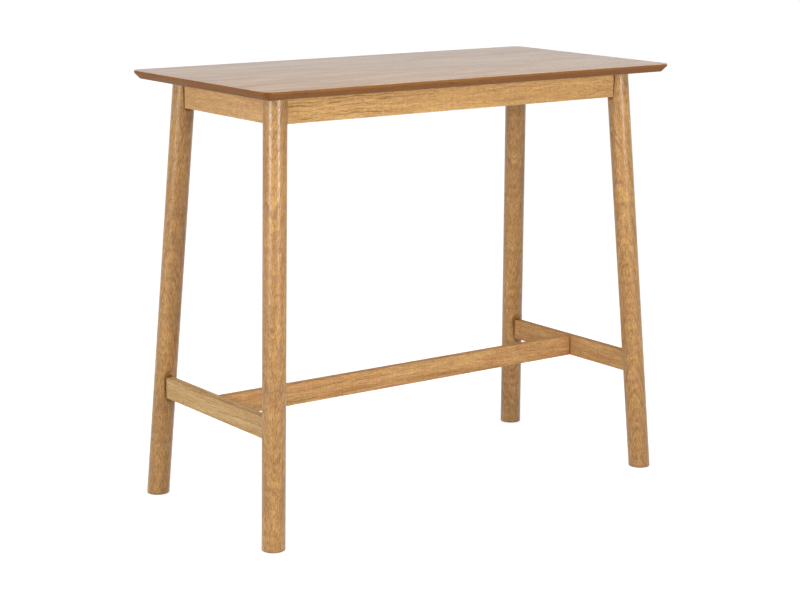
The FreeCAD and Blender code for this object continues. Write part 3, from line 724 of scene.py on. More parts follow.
def make_wood(name, look, axis, node, leaves=False):
    """Lacquered wood for a CAD node's place, with its fibres along axis; each name gives another part of
    the log."""
    chance = random.Random(name)
    side = look.pith_side + chance.uniform(-PITH_SWING, PITH_SWING)
    heart = (look.pith_distance * math.cos(side), look.pith_distance * math.sin(side))
    tilt = look.pith_tilt * chance.choice((-1, 1))
    material, tree, shader = new_material(name)
    grain = grain_vector(tree, axis, middle_of(node), heart, chance.uniform(*LOG_STRETCH), tilt)
    if leaves:
        leaf = place_group(tree, "Veneer leaves", Vector=grain, Leaf_Width=look.leaf_width,
                           Middle=heart[0])
        grain = leaf["Vector"]
    figure = place_group(tree, "Timber figure", Vector=grain, Ring_Width=look.ring_width,
                         Waviness=look.ring_width * look.waviness)
    depth = add(tree, multiply(tree, figure["Rings"], look.ring_tone),
                multiply(tree, figure["Patches"], look.patch_tone), clamp=True)
    shade = blend_colours(tree, depth, opaque(look.pale), opaque(look.dark))
    if leaves:
        shade = tint(tree, shade, leaf["Tone"], LEAF_TONE, look.dark)
        shade = tint(tree, shade, leaf["Joint"], LEAF_JOINT_TONE, look.gleam)
    pores = dashes(tree, grain, look.pore_length, look.pore_width, look.cover)
    flecks = dashes(tree, grain, look.fleck_length, look.fleck_width, look.cover)
    gleams = dashes(tree, grain, look.fleck_length * GLEAM_LENGTH, look.fleck_width * GLEAM_WIDTH,
                    look.cover * GLEAM_COVER)
    knots = place_group(tree, "Pin knots", Vector=grain, Spacing=KNOT_SPACING, Size=KNOT_SIZE,
                        Cover=look.knot_cover)["Knots"]
    cut = place_group(tree, "End grain", Axis=axis)["Cut"]
    # Arris mask, for wear and for a painted highlight
    rubbed = place_group(tree, "Rubbed and highlit edges", Vector=grain, Radius=look.rub_and_highlight_width, Breakup=0.5)
    # Painted shade in the corners between pieces
    painted_joint_shade = place_group(tree, "Painted joint shade", Distance=look.painted_shade_reach)["Shade"]
    for mask, strength, target in (
            (figure["Streaks"], look.streak_tone, look.blush),
            (figure["Lines"], look.line_tone, look.line),
            (figure["Fibres"], look.fibre_tone, look.line),
            (gleams, look.gleam_tone, look.gleam),
            (flecks, look.fleck_tone, look.line),
            (pores, look.pore_tone, look.pore),
            (knots, look.knot_tone, look.pore),
            (cut, END_TONE, look.end),
            # Arris colour: wear, and on the veneer and the lippings a painted highlight
            (rubbed["Edge"], look.rub_and_highlight_tone, look.worn_and_highlight),
            # Painted shade in the corners between pieces, tinted towards the pore colour
            (painted_joint_shade, look.painted_shade_tone, look.pore)):
        shade = tint(tree, shade, mask, strength, target)
    film = place_group(tree, "Lacquer film", Vector=grain, Roughness=look.roughness, Pores=pores)
    relief = add_node(tree, "ShaderNodeBump", {"Height": film["Height"], "Normal": rubbed["Normal"],
                                               "Strength": look.relief, "Distance": RELIEF_DEPTH})
    connect(tree, shader.inputs, {"Base Color": shade,
                                  "Roughness": film["Roughness"],
                                  "Normal": relief.outputs[0],
                                  "Specular IOR Level": look.gloss,
                                  "Coat Weight": look.coat,
                                  "Coat Roughness": COAT_ROUGHNESS})
    return material


def make_plated_steel(finish):
    """Zinc plated steel with dull patches, fine scratches and bright rubbed edges."""
    material, tree, shader = new_material(STEEL)
    place = add_node(tree, "ShaderNodeTexCoord").outputs["Object"]
    clouds = noise(tree, place, scale=240.0, detail=5.0, roughness=0.62)
    spangle = random_cells(tree, place, scale=900.0)[1]
    scratches = noise(tree, stretch(tree, place, 300.0, 300.0, 4000.0))
    dull = add(tree, multiply(tree, clouds, 0.8), multiply(tree, spangle, 0.25), clamp=True)
    shade = blend_colours(tree, dull, opaque(finish.steel), opaque(finish.steel_stain_and_shade))
    edges = place_group(tree, "Rubbed and highlit edges", Vector=place, Radius=0.0005, Breakup=0.4)
    shade = tint(tree, shade, edges["Edge"], 0.6, finish.steel)
    # Painted shade in the corners where the steel meets other pieces
    painted_joint_shade = place_group(tree, "Painted joint shade", Distance=0.003)["Shade"]
    shade = tint(tree, shade, painted_joint_shade, 0.4, finish.steel_stain_and_shade)
    relief = add_node(tree, "ShaderNodeBump", {"Height": scratches, "Normal": edges["Normal"],
                                               "Strength": 0.25, "Distance": 0.0001})
    connect(tree, shader.inputs, {"Base Color": shade,
                                  "Roughness": reshape(tree, dull, 0.2, 0.9, 0.24, 0.46),
                                  "Normal": relief.outputs[0],
                                  "Metallic": 1.0})
    return material


def make_felt(finish):
    """Pressed felt with loose fibres."""
    material, tree, shader = new_material("pressed_felt")
    place = add_node(tree, "ShaderNodeTexCoord").outputs["Object"]
    wool = noise(tree, place, scale=1500.0, detail=4.0, roughness=0.7)
    tufts = noise(tree, place, scale=300.0, detail=3.0)
    loose = dashes(tree, place, 0.0035, 0.0004, 0.6)
    shade = tint(tree, opaque(finish.felt), reshape(tree, wool, 0.3, 0.7), 1.0, finish.felt_fibre)
    shade = tint(tree, shade, loose, 0.5, finish.felt_fibre)
    height = add(tree, wool, add(tree, tufts, loose))
    relief = add_node(tree, "ShaderNodeBump", {"Height": height, "Strength": 0.8, "Distance": 0.0005})
    connect(tree, shader.inputs, {"Base Color": shade,
                                  "Roughness": reshape(tree, tufts, 0.0, 1.0, 0.86, 1.0),
                                  "Normal": relief.outputs[0],
                                  "Sheen Weight": 0.4})
    return material


def plated_steel(settings):
    """The one steel of all fasteners and brackets."""
    return bpy.data.materials.get(STEEL) or make_plated_steel(settings.finish)


# Shapes

# Rings of the mesh in one turn of a thread
THREAD_RINGS = 6
# Width of a rod's blunt tip, as a share
POINT_SHARE = 0.55


def middle_of(node):
    low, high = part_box(node)
    return (low + high) / 2


def skin(rings):
    """Closed surface through rings of points, with both ends capped."""
    shape = bmesh.new()
    rows = [[shape.verts.new(point) for point in ring] for ring in rings]
    for below, above in zip(rows, rows[1:]):
        for number in range(len(below)):
            shape.faces.new((below[number - 1], below[number], above[number], above[number - 1]))
    shape.faces.new(rows[0])
    shape.faces.new(rows[-1])
    bmesh.ops.remove_doubles(shape, verts=shape.verts, dist=MERGE)
    bmesh.ops.dissolve_degenerate(shape, edges=shape.edges, dist=MERGE)
    bmesh.ops.recalc_face_normals(shape, faces=shape.faces)
    return shape


def to_object(name, shape):
    """Put a shape into the scene under this name."""
    mesh = bpy.data.meshes.new(name)
    shape.to_mesh(mesh)
    shape.free()
    thing = bpy.data.objects.new(name, mesh)
    bpy.context.scene.collection.objects.link(thing)
    return thing


def join(shapes):
    """One shape out of several that lie apart."""
    whole = bmesh.new()
    for shape in shapes:
        mesh = bpy.data.meshes.new("joined")
        shape.to_mesh(mesh)
        shape.free()
        whole.from_mesh(mesh)
        bpy.data.meshes.remove(mesh)
    return whole


def carve(shape, cutters):
    """The shape less the cutters."""
    block = to_object("block", shape)
    tool = to_object("tool", join(cutters))
    cut = block.modifiers.new("cut", "BOOLEAN")
    cut.operation = "DIFFERENCE"
    cut.solver = "EXACT"
    cut.object = tool
    bpy.context.view_layer.update()
    carved = bpy.data.meshes.new_from_object(block.evaluated_get(bpy.context.evaluated_depsgraph_get()))
    result = bmesh.new()
    result.from_mesh(carved)
    bpy.data.meshes.remove(carved)
    for thing in (block, tool):
        mesh = thing.data
        bpy.data.objects.remove(thing)
        bpy.data.meshes.remove(mesh)
    return result


def moved(shape, matrix):
    """The shape put into place by a matrix, which may mirror it."""
    bmesh.ops.transform(shape, matrix=matrix, verts=shape.verts)
    bmesh.ops.recalc_face_normals(shape, faces=shape.faces)
    return shape


def keep_piece(name, shape, material, node):
    """Make a shape a piece of the table that stands for a CAD node."""
    thing = to_object(name, shape)
    thing.data.materials.append(material)
    thing.data.shade_smooth()
    thing.data.set_sharp_from_angle(angle=SHARP)
    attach(thing, "root")
    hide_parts(node)


def cover_node(node, material):
    """Give a CAD node that stays its finish."""
    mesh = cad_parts[node].data
    mesh.materials.clear()
    mesh.materials.append(material)


def softened(corners, radii, steps):
    """Closed outline in a plane with its corners rounded; a radius of 0 keeps a corner sharp."""
    points = []
    for number, corner in enumerate(corners):
        here = Vector(corner)
        if not radii[number]:
            points.append(here)
            continue
        back = (Vector(corners[number - 1]) - here).normalized()
        ahead = (Vector(corners[(number + 1) % len(corners)]) - here).normalized()
        half = back.angle(ahead) / 2
        centre = here + (back + ahead).normalized() * radii[number] / math.sin(half)
        start = here + back * radii[number] / math.tan(half) - centre
        turn = start.angle_signed(here + ahead * radii[number] / math.tan(half) - centre)
        for step in range(steps + 1):
            points.append(centre + turned_by(start, -turn * step / steps))
    return points


def turned_by(vector, turn):
    return Vector((vector.x * math.cos(turn) - vector.y * math.sin(turn),
                   vector.x * math.sin(turn) + vector.y * math.cos(turn)))


def lathe(profile, sides):
    """Solid turned round Z through a profile of radii and heights."""
    turns = [2 * math.pi * side / sides for side in range(sides)]
    return skin([[(radius * math.cos(turn), radius * math.sin(turn), height) for turn in turns]
                 for radius, height in profile])


def threaded_rod(radius, pitch, depth, bottom, top, sides, point):
    """Rod along Z with a helical thread, tapered over the length of its point."""
    steps = math.ceil((top - bottom) / pitch * THREAD_RINGS)
    rings = []
    for step in range(steps + 1):
        height = bottom + (top - bottom) * step / steps
        taper = min(1.0, (height - bottom) / point * (1 - POINT_SHARE) + POINT_SHARE)
        ring = []
        for side in range(sides):
            turn = 2 * math.pi * side / sides
            phase = (height / pitch - side / sides) % 1
            here = (radius - depth * abs(2 * phase - 1)) * taper
            ring.append((here * math.cos(turn), here * math.sin(turn), height))
        rings.append(ring)
    return skin(rings)


def box_shape(low, high):
    plan = ((low[0], low[1]), (high[0], low[1]), (high[0], high[1]), (low[0], high[1]))
    return skin([[(x, y, height) for x, y in plan] for height in (low[2], high[2])])


# Table top

# Half of a right-angled corner, in degrees, up to the mitre that two lippings share
HALF_CORNER = 45


def edge_outline(half_x, half_y, inset, top):
    """Outline in plan of the whole top, moved inward by inset."""
    x, y, radius = half_x - inset, half_y - inset, top.corner_radius - inset
    return softened(((-x, -y), (x, -y), (x, y), (-x, y)), [radius] * 4, 2 * top.corner_steps)


def face_arris_points(top, face, start_share, end_share):
    """Insets and heights on the rounded arris under the face, between two shares of its height."""
    radius = top.face_arris
    first, last = (math.asin(part) for part in (start_share, end_share))
    points = []
    for step in range(top.arris_steps + 1):
        turn = first + (last - first) * step / top.arris_steps
        points.append((radius * (1 - math.cos(turn)), face - radius * (1 - math.sin(turn))))
    return points


def veneer_share(top):
    """Share of the face arris that lies below the veneer."""
    low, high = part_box("top_face_veneer")
    return 1 - (high.z - low.z) / top.face_arris


def face_veneer_shape(top):
    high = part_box("top_face_veneer")[1]
    rings = []
    for inset, height in face_arris_points(top, high.z, veneer_share(top), 1.0):
        rings.append([(*point, height) for point in edge_outline(high.x, high.y, inset, top)])
    return skin(rings)


def lipping_profile(top):
    """Insets from the edge and heights round the section of a lipping."""
    low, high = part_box("lipping_front")
    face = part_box("top_face_veneer")[1].z
    bevel = face - top.lip_height
    foot = bevel - low.z
    corners = ((top.lipping_width, low.z), (foot, low.z), (0, bevel), (0, bevel + top.lip_height / 2))
    lower = softened(corners, (0, top.bevel_arris, top.bevel_arris, 0), top.arris_steps)
    upper = face_arris_points(top, face, 0.0, veneer_share(top))
    return [tuple(point) for point in lower] + upper + [(top.lipping_width, high.z)]


def lipping_shape(half_length, half_depth, top):
    """Front strip of a top of these half sizes, mitred through its rounded corners."""
    profile = lipping_profile(top)
    radius = top.corner_radius
    rings = []
    for side, first in ((-1, 270 - HALF_CORNER), (1, 270)):
        for step in range(top.corner_steps + 1):
            turn = math.radians(first + HALF_CORNER * step / top.corner_steps)
            ring = []
            for inset, height in profile:
                back = max(radius, inset)
                reach = max(radius - inset, 0)
                ring.append((side * (half_length - back) + reach * math.cos(turn),
                             back - half_depth + reach * math.sin(turn), height))
            rings.append(ring)
    return skin(rings)


class BAR_TABLE_OT_face_veneer(bpy.types.Operator):
    """Lay the oak veneer on the face of the top"""
    bl_idname = "bar_table.face_veneer"
    bl_label = "Face veneer"

    def execute(self, context):
        settings = context.scene.bar_table
        wood = make_wood("face_veneer", settings.face_veneer, ALONG_X, "top_face_veneer", leaves=True)
        keep_piece("top_face", face_veneer_shape(settings.top), wood, "top_face_veneer")
        return {"FINISHED"}


class BAR_TABLE_OT_lippings(bpy.types.Operator):
    """Fit the four mitred and bevelled strips round the top"""
    bl_idname = "bar_table.lippings"
    bl_label = "Lippings"

    def execute(self, context):
        settings = context.scene.bar_table
        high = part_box("top_face_veneer")[1]
        for side, turn in (("front", 0), ("right", 90), ("back", 180), ("left", 270)):
            along_x = side in LONG_SIDES
            halves = (high.x, high.y) if along_x else (high.y, high.x)
            spin = Matrix.Rotation(math.radians(turn), 4, "Z")
            shape = moved(lipping_shape(*halves, settings.top), spin)
            node = f"lipping_{side}"
            wood = make_wood(f"{node}_wood", settings.lipping_wood, ALONG_X if along_x else ALONG_Y, node)
            keep_piece(f"{node}_strip", shape, wood, node)
        return {"FINISHED"}


class BAR_TABLE_OT_core(bpy.types.Operator):
    """Finish the core board and the backing veneer under it"""
    bl_idname = "bar_table.core"
    bl_label = "Core and backing"

    def execute(self, context):
        settings = context.scene.bar_table
        for name, look, node in (("core_board", settings.core_wood, "top_core"),
                                 ("backing_veneer", settings.backing_veneer, "top_backing_veneer")):
            cover_node(node, make_wood(name, look, ALONG_X, node, leaves=True))
        return {"FINISHED"}


# Legs

# Vertices of a ring of a leg, by the stretch of it: long round, long-apron flat, short round, cross flat
LEG_STRETCHES = (60, 10, 16, 10)
# Half angle that a flat's vertices keep where the leg has no flat
LEAST_FLAT = math.radians(3)
# Rounds of the search for the edge of a flat
SEARCH_ROUNDS = 8
# Height between two rings along the flats that the aprons meet
FLAT_STEP = 0.005
# How far round the cutter a run-out reaches
RUN_OUT_TURN = math.radians(42)
# Facets in the rounded edge of the foot
FOOT_STEPS = 4
# Least height between two rings
LEAST_STEP = 1e-4


class LegForm:
    """Surface of the leg at the back right, which the other three mirror."""

    def __init__(self, leg, glide_diameter):
        low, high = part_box("leg_back_right")
        self.sizes = leg
        self.bottom, self.top = low.z, high.z
        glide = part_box("foot_glides")[1]
        self.foot = Vector((glide.x, glide.y)) - Vector((glide_diameter, glide_diameter)) / 2
        head = Vector((middle_of("apron_right").x, middle_of("apron_back").y))
        self.lean = (head - self.foot) / (middle_of("apron_back").z - self.bottom)
        self.axis = Vector((*self.lean, 1)).normalized()
        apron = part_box("apron_back")
        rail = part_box("side_stretcher_right")
        self.apron_seat = (apron[0].z, self.top)
        self.long_flat = apron[1].x
        self.short_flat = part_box("apron_right")[1].y
        self.rail_seat = (rail[0].z, rail[1].z)
        self.rail_flat = rail[1].y - leg.tenon

    def middle(self, height):
        return self.foot + self.lean * (height - self.bottom)

    def run_out(self, height, seat):
        """How far the cutter has left the flat at this height, or None where it no longer cuts."""
        past = max(seat[0] - height, height - seat[1], 0)
        radius = self.sizes.cutter_radius
        return radius - math.sqrt(radius ** 2 - past ** 2) if past < radius else None

    def flats(self, height):
        """Distances from the axis to the flats that face -X and -Y; one past the skin cuts nothing."""
        centre = self.middle(height)
        clear = 2 * self.sizes.diameter
        distances = [clear, clear]
        for number, flat, seat in ((0, self.long_flat, self.apron_seat),
                                   (1, self.short_flat, self.apron_seat),
                                   (1, self.rail_flat, self.rail_seat)):
            left = self.run_out(height, seat)
            if left is not None:
                distances[number] = min(distances[number], centre[number] - flat + left)
        return distances

    def radius(self, turn, height):
        """Level distance from the axis to the uncut round."""
        along = self.axis.x * math.cos(turn) + self.axis.y * math.sin(turn)
        rise = height - self.bottom
        arris = self.sizes.foot_arris
        eased = arris - math.sqrt(arris ** 2 - (arris - rise) ** 2) if rise < arris else 0
        return (self.sizes.diameter / 2 - eased) / math.sqrt(1 - along ** 2)

    def flat_edge(self, distance, middle_turn, way, height):
        """Angle from the middle of a flat to where the round begins."""
        found = 0
        for _ in range(SEARCH_ROUNDS):
            ratio = distance / self.radius(middle_turn + way * found, height)
            found = math.acos(ratio) if ratio < 1 else 0
        return max(found, LEAST_FLAT)

    def turns(self, height):
        """Angles of a ring's vertices, with one on each edge of a flat."""
        long_flat, cross_flat = self.flats(height)
        west, south = math.pi, 1.5 * math.pi
        stops = (south + self.flat_edge(cross_flat, south, 1, height) - 2 * math.pi,
                 west - self.flat_edge(long_flat, west, -1, height),
                 west + self.flat_edge(long_flat, west, 1, height),
                 south - self.flat_edge(cross_flat, south, -1, height),
                 south + self.flat_edge(cross_flat, south, 1, height))
        turns = []
        for number, first, last in zip(LEG_STRETCHES, stops, stops[1:]):
            turns += [first + (last - first) * step / number for step in range(number)]
        return turns

    def ring(self, height):
        centre = self.middle(height)
        flats = self.flats(height)
        points = []
        for turn in self.turns(height):
            reach = self.radius(turn, height)
            for distance, facing in zip(flats, (-math.cos(turn), -math.sin(turn))):
                if facing > 0:
                    reach = min(reach, distance / facing)
            points.append((centre.x + reach * math.cos(turn), centre.y + reach * math.sin(turn), height))
        return points

    def levels(self):
        """Heights of the rings, closer together at the foot, the seats and their round ends."""
        sizes = self.sizes
        levels = {self.bottom, self.top}
        levels |= {self.bottom + sizes.foot_arris * (1 - math.cos(math.pi / 2 * step / FOOT_STEPS))
                   for step in range(FOOT_STEPS + 1)}
        plain = math.floor((self.top - self.bottom) / sizes.level_step)
        levels |= {self.bottom + sizes.level_step * step for step in range(1, plain)}
        reach = sizes.cutter_radius * math.sin(RUN_OUT_TURN)
        for step in range(sizes.run_out_steps + 1):
            past = reach * step / sizes.run_out_steps
            levels |= {self.apron_seat[0] - past, self.rail_seat[0] - past, self.rail_seat[1] + past}
        along = math.floor((self.top - self.apron_seat[0]) / FLAT_STEP)
        levels |= {self.apron_seat[0] + FLAT_STEP * step for step in range(along)}
        close = sorted(levels)
        apart = [level for level, following in zip(close, close[1:]) if following - level > LEAST_STEP]
        return apart + [self.top]

    def shape(self):
        return skin([self.ring(level) for level in self.levels()])


class BAR_TABLE_OT_legs(bpy.types.Operator):
    """Turn the four legs and mill their seats"""
    bl_idname = "bar_table.legs"
    bl_label = "Legs"

    def execute(self, context):
        settings = context.scene.bar_table
        form = LegForm(settings.leg, settings.hardware.glide_diameter)
        for corner, (x, y) in CORNERS.items():
            shape = moved(form.shape(), Matrix.Diagonal((x, y, 1, 1)))
            axis = (form.axis.x * x, form.axis.y * y, form.axis.z)
            wood = make_wood(f"leg_{corner}_wood", settings.leg_wood, axis, f"leg_{corner}")
            keep_piece(f"leg_{corner}_turned", shape, wood, f"leg_{corner}")
        return {"FINISHED"}


# Aprons and stretchers

# Places of the screws along an apron, as shares of its half length
LONG_APRON_SCREWS = (-0.6, 0.6)
SHORT_APRON_SCREWS = (0,)
# Facets round a hole or a screw's head
ROUND_SIDES = 48


def board_shape(node, along_x, radii, sizes, ends):
    """Board that fills a node's box between its shoulders, with the radii of its four long edges."""
    low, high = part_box(node)
    half = (high - low) / 2
    long, thick = (half.x, half.y) if along_x else (half.y, half.x)
    long -= ends
    rings = []
    for place, inset in ((-long, sizes.end_arris), (sizes.end_arris - long, 0),
                         (long - sizes.end_arris, 0), (long, sizes.end_arris)):
        wide, tall = thick - inset, half.z - inset
        corners = ((-wide, -tall), (wide, -tall), (wide, tall), (-wide, tall))
        section = softened(corners, radii, sizes.arris_steps)
        rings.append([(place, *point) for point in section])
    spin = Matrix.Identity(4) if along_x else Matrix.Rotation(math.pi / 2, 4, "Z")
    return moved(skin(rings), Matrix.Translation(middle_of(node)) @ spin)


def screw_spots(side):
    """Centres in plan of the screws that rise through an apron, spaced along it from its middle."""
    low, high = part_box(f"apron_{side}")
    middle, half = (low + high) / 2, (high - low) / 2
    if side in LONG_SIDES:
        return [(middle.x + part * half.x, middle.y) for part in LONG_APRON_SCREWS]
    return [(middle.x, middle.y + part * half.y) for part in SHORT_APRON_SCREWS]


def kerf_boxes(low, high, along_x, sizes, hardware):
    """Lowest and highest corners of the two kerfs in an apron's inner face."""
    inner_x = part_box("apron_right")[0].x
    inner_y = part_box("apron_back")[0].y
    corner, face = (inner_x, inner_y) if along_x else (inner_y, inner_x)
    hook = corner - hardware.reach - hardware.wing + hardware.sheet / 2
    side = math.copysign(1, low.y + high.y if along_x else low.x + high.x)
    across = sorted((side * (face - OVERRUN), side * (face + sizes.kerf_depth)))
    boxes = []
    for end in (-1, 1):
        along = (end * hook - sizes.kerf / 2, end * hook + sizes.kerf / 2)
        xs, ys = (along, across) if along_x else (across, along)
        boxes.append(((xs[0], ys[0], low.z - OVERRUN), (xs[1], ys[1], high.z + OVERRUN)))
    return boxes


class BAR_TABLE_OT_aprons(bpy.types.Operator):
    """Cut the four aprons, with the screw recesses and the kerfs for the brackets"""
    bl_idname = "bar_table.aprons"
    bl_label = "Aprons"

    def execute(self, context):
        settings = context.scene.bar_table
        sizes, hardware = settings.board, settings.hardware
        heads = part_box("top_screws")[0].z + hardware.screw_head_height
        radii = (sizes.arris, sizes.arris, 0, 0)
        for side in SIDES:
            along_x = side in LONG_SIDES
            node = f"apron_{side}"
            low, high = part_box(node)
            recess = sizes.recess_diameter / 2
            cutters = [moved(lathe(((recess, low.z - OVERRUN), (recess, heads)), ROUND_SIDES),
                             Matrix.Translation((x, y, 0))) for x, y in screw_spots(side)]
            kerfs = kerf_boxes(low, high, along_x, sizes, hardware)
            cutters += [box_shape(*corners) for corners in kerfs]
            shape = carve(board_shape(node, along_x, radii, sizes, 0), cutters)
            look = settings.long_apron_wood if along_x else settings.short_apron_wood
            wood = make_wood(f"{node}_wood", look, ALONG_X if along_x else ALONG_Y, node)
            keep_piece(f"{node}_board", shape, wood, node)
        return {"FINISHED"}


class BAR_TABLE_OT_stretchers(bpy.types.Operator):
    """Cut the three stretchers between the legs"""
    bl_idname = "bar_table.stretchers"
    bl_label = "Stretchers"

    def execute(self, context):
        settings = context.scene.bar_table
        sizes = settings.board
        side_tenon = settings.leg.tenon
        long_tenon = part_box("long_stretcher")[1].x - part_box("side_stretcher_right")[0].x
        for node, look, axis, tenon in (
                # The left stretcher takes a paler copy of the stretcher wood: painted light
                ("side_stretcher_left", settings.pale_stretcher_wood, ALONG_Y, side_tenon),
                ("side_stretcher_right", settings.stretcher_wood, ALONG_Y, side_tenon),
                ("long_stretcher", settings.stretcher_wood, ALONG_X, long_tenon)):
            wood = make_wood(f"{node}_wood", look, axis, node)
            shape = board_shape(node, axis == ALONG_X, [sizes.arris] * 4, sizes, tenon)
            keep_piece(f"{node}_board", shape, wood, node)
        return {"FINISHED"}


# Brackets, bolts, screws and glides

# Play of a bolt in its bores, all round
BOLT_PLAY = 0.0001
# Depths of the threads, as shares of their pitch
BOLT_THREAD = 0.5
SCREW_THREAD = 0.25
# Facets in a bend of the sheet
BEND_STEPS = 6
# Facets round the things that are turned
BOLT_SIDES = 32
SCREW_SIDES = 20
NUT_SIDES = 60
DISC_SIDES = 64
# Heights of the rings of a nut, as shares
NUT_LEVELS = (0, 0.06, 0.12, 0.2, 0.8, 0.88, 0.94, 1)
# Face of a nut inside its chamfer, as a share of its width across flats, and the slope of the chamfer
NUT_FACE = 0.98
NUT_CHAMFER = math.radians(60)
# Rounding of a washer's rim, as a share of its thickness
WASHER_EASE = 0.18
# Angles of the rings of a screw's domed head, and how full the dome is
DOME_TURNS = (88, 70, 52, 34, 18, 6, 0)
DOME_FULLNESS = 0.6
# Half width and reach of a cross recess as shares of the head's width, and its depth as one of its height
CROSS_HALF_WIDTH = 0.07
CROSS_REACH = 0.3
CROSS_DEPTH = 0.6
# Angles of the rings of a glide's rounded rim
GLIDE_TURNS = (0, 22, 45, 68, 90)


def bolt_matrix(x, y):
    """From Z at the origin to the level line of a corner's bolt, which starts at the leg's axis."""
    apron = middle_of("apron_back")
    start = Vector((x * middle_of("apron_right").x, y * apron.y, apron.z))
    inward = Vector((-x, -y, 0)).normalized()
    return Matrix.Translation(start) @ inward.to_track_quat("Z", "Y").to_matrix().to_4x4()


def at_bolts(make_shape):
    """One shape out of a new one on each of the four bolt lines."""
    return join([moved(make_shape(), bolt_matrix(x, y)) for x, y in CORNERS.values()])


def bolt_drill(hardware, bottom, top):
    """Cutter for a bolt's bore, along Z."""
    radius = hardware.bolt_diameter / 2 + BOLT_PLAY
    return lathe(((radius, bottom), (radius, top)), ROUND_SIDES)


def plate_distance(hardware):
    """From a leg's axis to the side of the bracket's plate that faces it."""
    low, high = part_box("apron_back")
    return (high.y - low.y) / 2 * math.sqrt(2) + hardware.reach / math.sqrt(2)


def bracket_shape(hardware):
    """Pressed strip in the corner of +X and +Y, seen from above: hook, wing, plate, wing, hook."""
    low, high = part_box("corner_bracket_back_right")
    corner = Vector((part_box("apron_right")[0].x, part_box("apron_back")[0].y))
    sheet, bend = hardware.sheet, hardware.bend_radius
    end = hardware.reach + hardware.wing
    hook = -(Vector((high.x, high.y)) - corner).x
    inner = hardware.reach + sheet * (math.sqrt(2) - 1)
    outer = bend + sheet
    tight = sheet / 2
    room_side = ((end, hook, 0), (end, sheet, tight + sheet), (inner, sheet, bend))
    leg_side = ((hardware.reach, 0, outer), (end - sheet, 0, tight), (end - sheet, hook, 0))
    points = [*room_side, *((y, x, r) for x, y, r in reversed(room_side)),
              *((y, x, r) for x, y, r in reversed(leg_side)), *leg_side]
    outline = softened([point[:2] for point in points], [point[2] for point in points], BEND_STEPS)
    placed = [corner - point for point in outline]
    strip = skin([[(*point, height) for point in placed] for height in (low.z, high.z)])
    return carve(strip, [moved(bolt_drill(hardware, 0, 2 * plate_distance(hardware)), bolt_matrix(1, 1))])


class BAR_TABLE_OT_brackets(bpy.types.Operator):
    """Press the four corner brackets"""
    bl_idname = "bar_table.brackets"
    bl_label = "Corner brackets"

    def execute(self, context):
        settings = context.scene.bar_table
        for corner, (x, y) in CORNERS.items():
            shape = moved(bracket_shape(settings.hardware), Matrix.Diagonal((x, y, 1, 1)))
            keep_piece(f"bracket_{corner}", shape, plated_steel(settings),
                       f"corner_bracket_{corner}")
        return {"FINISHED"}


def nut_shape(hardware, bottom):
    """Hexagon nut with chamfered corners."""
    half = hardware.nut_across_flats / 2
    rings = []
    for part in NUT_LEVELS:
        height = part * hardware.nut_height
        slack = min(height, hardware.nut_height - height)
        cone = half * NUT_FACE + slack * math.tan(NUT_CHAMFER)
        ring = []
        for side in range(NUT_SIDES):
            turn = 2 * math.pi * side / NUT_SIDES
            flat = (turn + math.pi / 6) % (math.pi / 3) - math.pi / 6
            reach = min(half / math.cos(flat), cone)
            ring.append((reach * math.cos(turn), reach * math.sin(turn), bottom + height))
        rings.append(ring)
    drill = bolt_drill(hardware, bottom - OVERRUN, bottom + hardware.nut_height + OVERRUN)
    return carve(skin(rings), [drill])


def washer_shape(hardware, bottom):
    radius, thick = hardware.washer_diameter / 2, hardware.washer_thickness
    ease = thick * WASHER_EASE
    disc = lathe(((radius - ease, bottom), (radius, bottom + ease), (radius, bottom + thick - ease),
                  (radius - ease, bottom + thick)), DISC_SIDES)
    return carve(disc, [bolt_drill(hardware, bottom - OVERRUN, bottom + thick + OVERRUN)])


class BAR_TABLE_OT_bolts(bpy.types.Operator):
    """Fit the hanger bolts with their washers and nuts"""
    bl_idname = "bar_table.bolts"
    bl_label = "Bolts, washers and nuts"

    def execute(self, context):
        settings = context.scene.bar_table
        hardware = settings.hardware
        washer_seat = plate_distance(hardware) + hardware.sheet
        nut_seat = washer_seat + hardware.washer_thickness
        tip = settings.leg.diameter / 2 - hardware.bolt_in_leg
        end = nut_seat + hardware.nut_height + hardware.bolt_beyond_nut
        pitch = hardware.bolt_pitch
        bolts = at_bolts(lambda: threaded_rod(hardware.bolt_diameter / 2, pitch, pitch * BOLT_THREAD,
                                              tip, end, BOLT_SIDES, pitch))
        washers = at_bolts(lambda: washer_shape(hardware, washer_seat))
        nuts = at_bolts(lambda: nut_shape(hardware, nut_seat))
        for name, shape, node in (("threaded_bolts", bolts, "hanger_bolts"),
                                  ("washers", washers, "bracket_washers"),
                                  ("nuts", nuts, "bracket_nuts")):
            keep_piece(name, shape, plated_steel(settings), node)
        return {"FINISHED"}


def screw_head_shape(hardware, bottom):
    """Domed head with a cross recess, its flat side up."""
    width, height = hardware.screw_head, hardware.screw_head_height
    seat = bottom + height
    dome = [(width / 2 * math.cos(math.radians(turn)) ** DOME_FULLNESS,
             seat - height * math.sin(math.radians(turn))) for turn in DOME_TURNS]
    head = lathe(dome + [(width / 2, seat)], ROUND_SIDES)
    slot, arm = width * CROSS_HALF_WIDTH, width * CROSS_REACH
    for x, y in ((arm, slot), (slot, arm)):
        head = carve(head, [box_shape((-x, -y, bottom - OVERRUN), (x, y, bottom + height * CROSS_DEPTH))])
    return head


def screw_shank_shape(hardware, seat):
    """Threaded shank that rises from its head at this height."""
    pitch = hardware.screw_pitch
    shank = threaded_rod(hardware.screw_diameter / 2, pitch, pitch * SCREW_THREAD,
                         -seat - hardware.screw_length, -seat, SCREW_SIDES, hardware.screw_diameter)
    return moved(shank, Matrix.Diagonal((1, 1, -1, 1)))


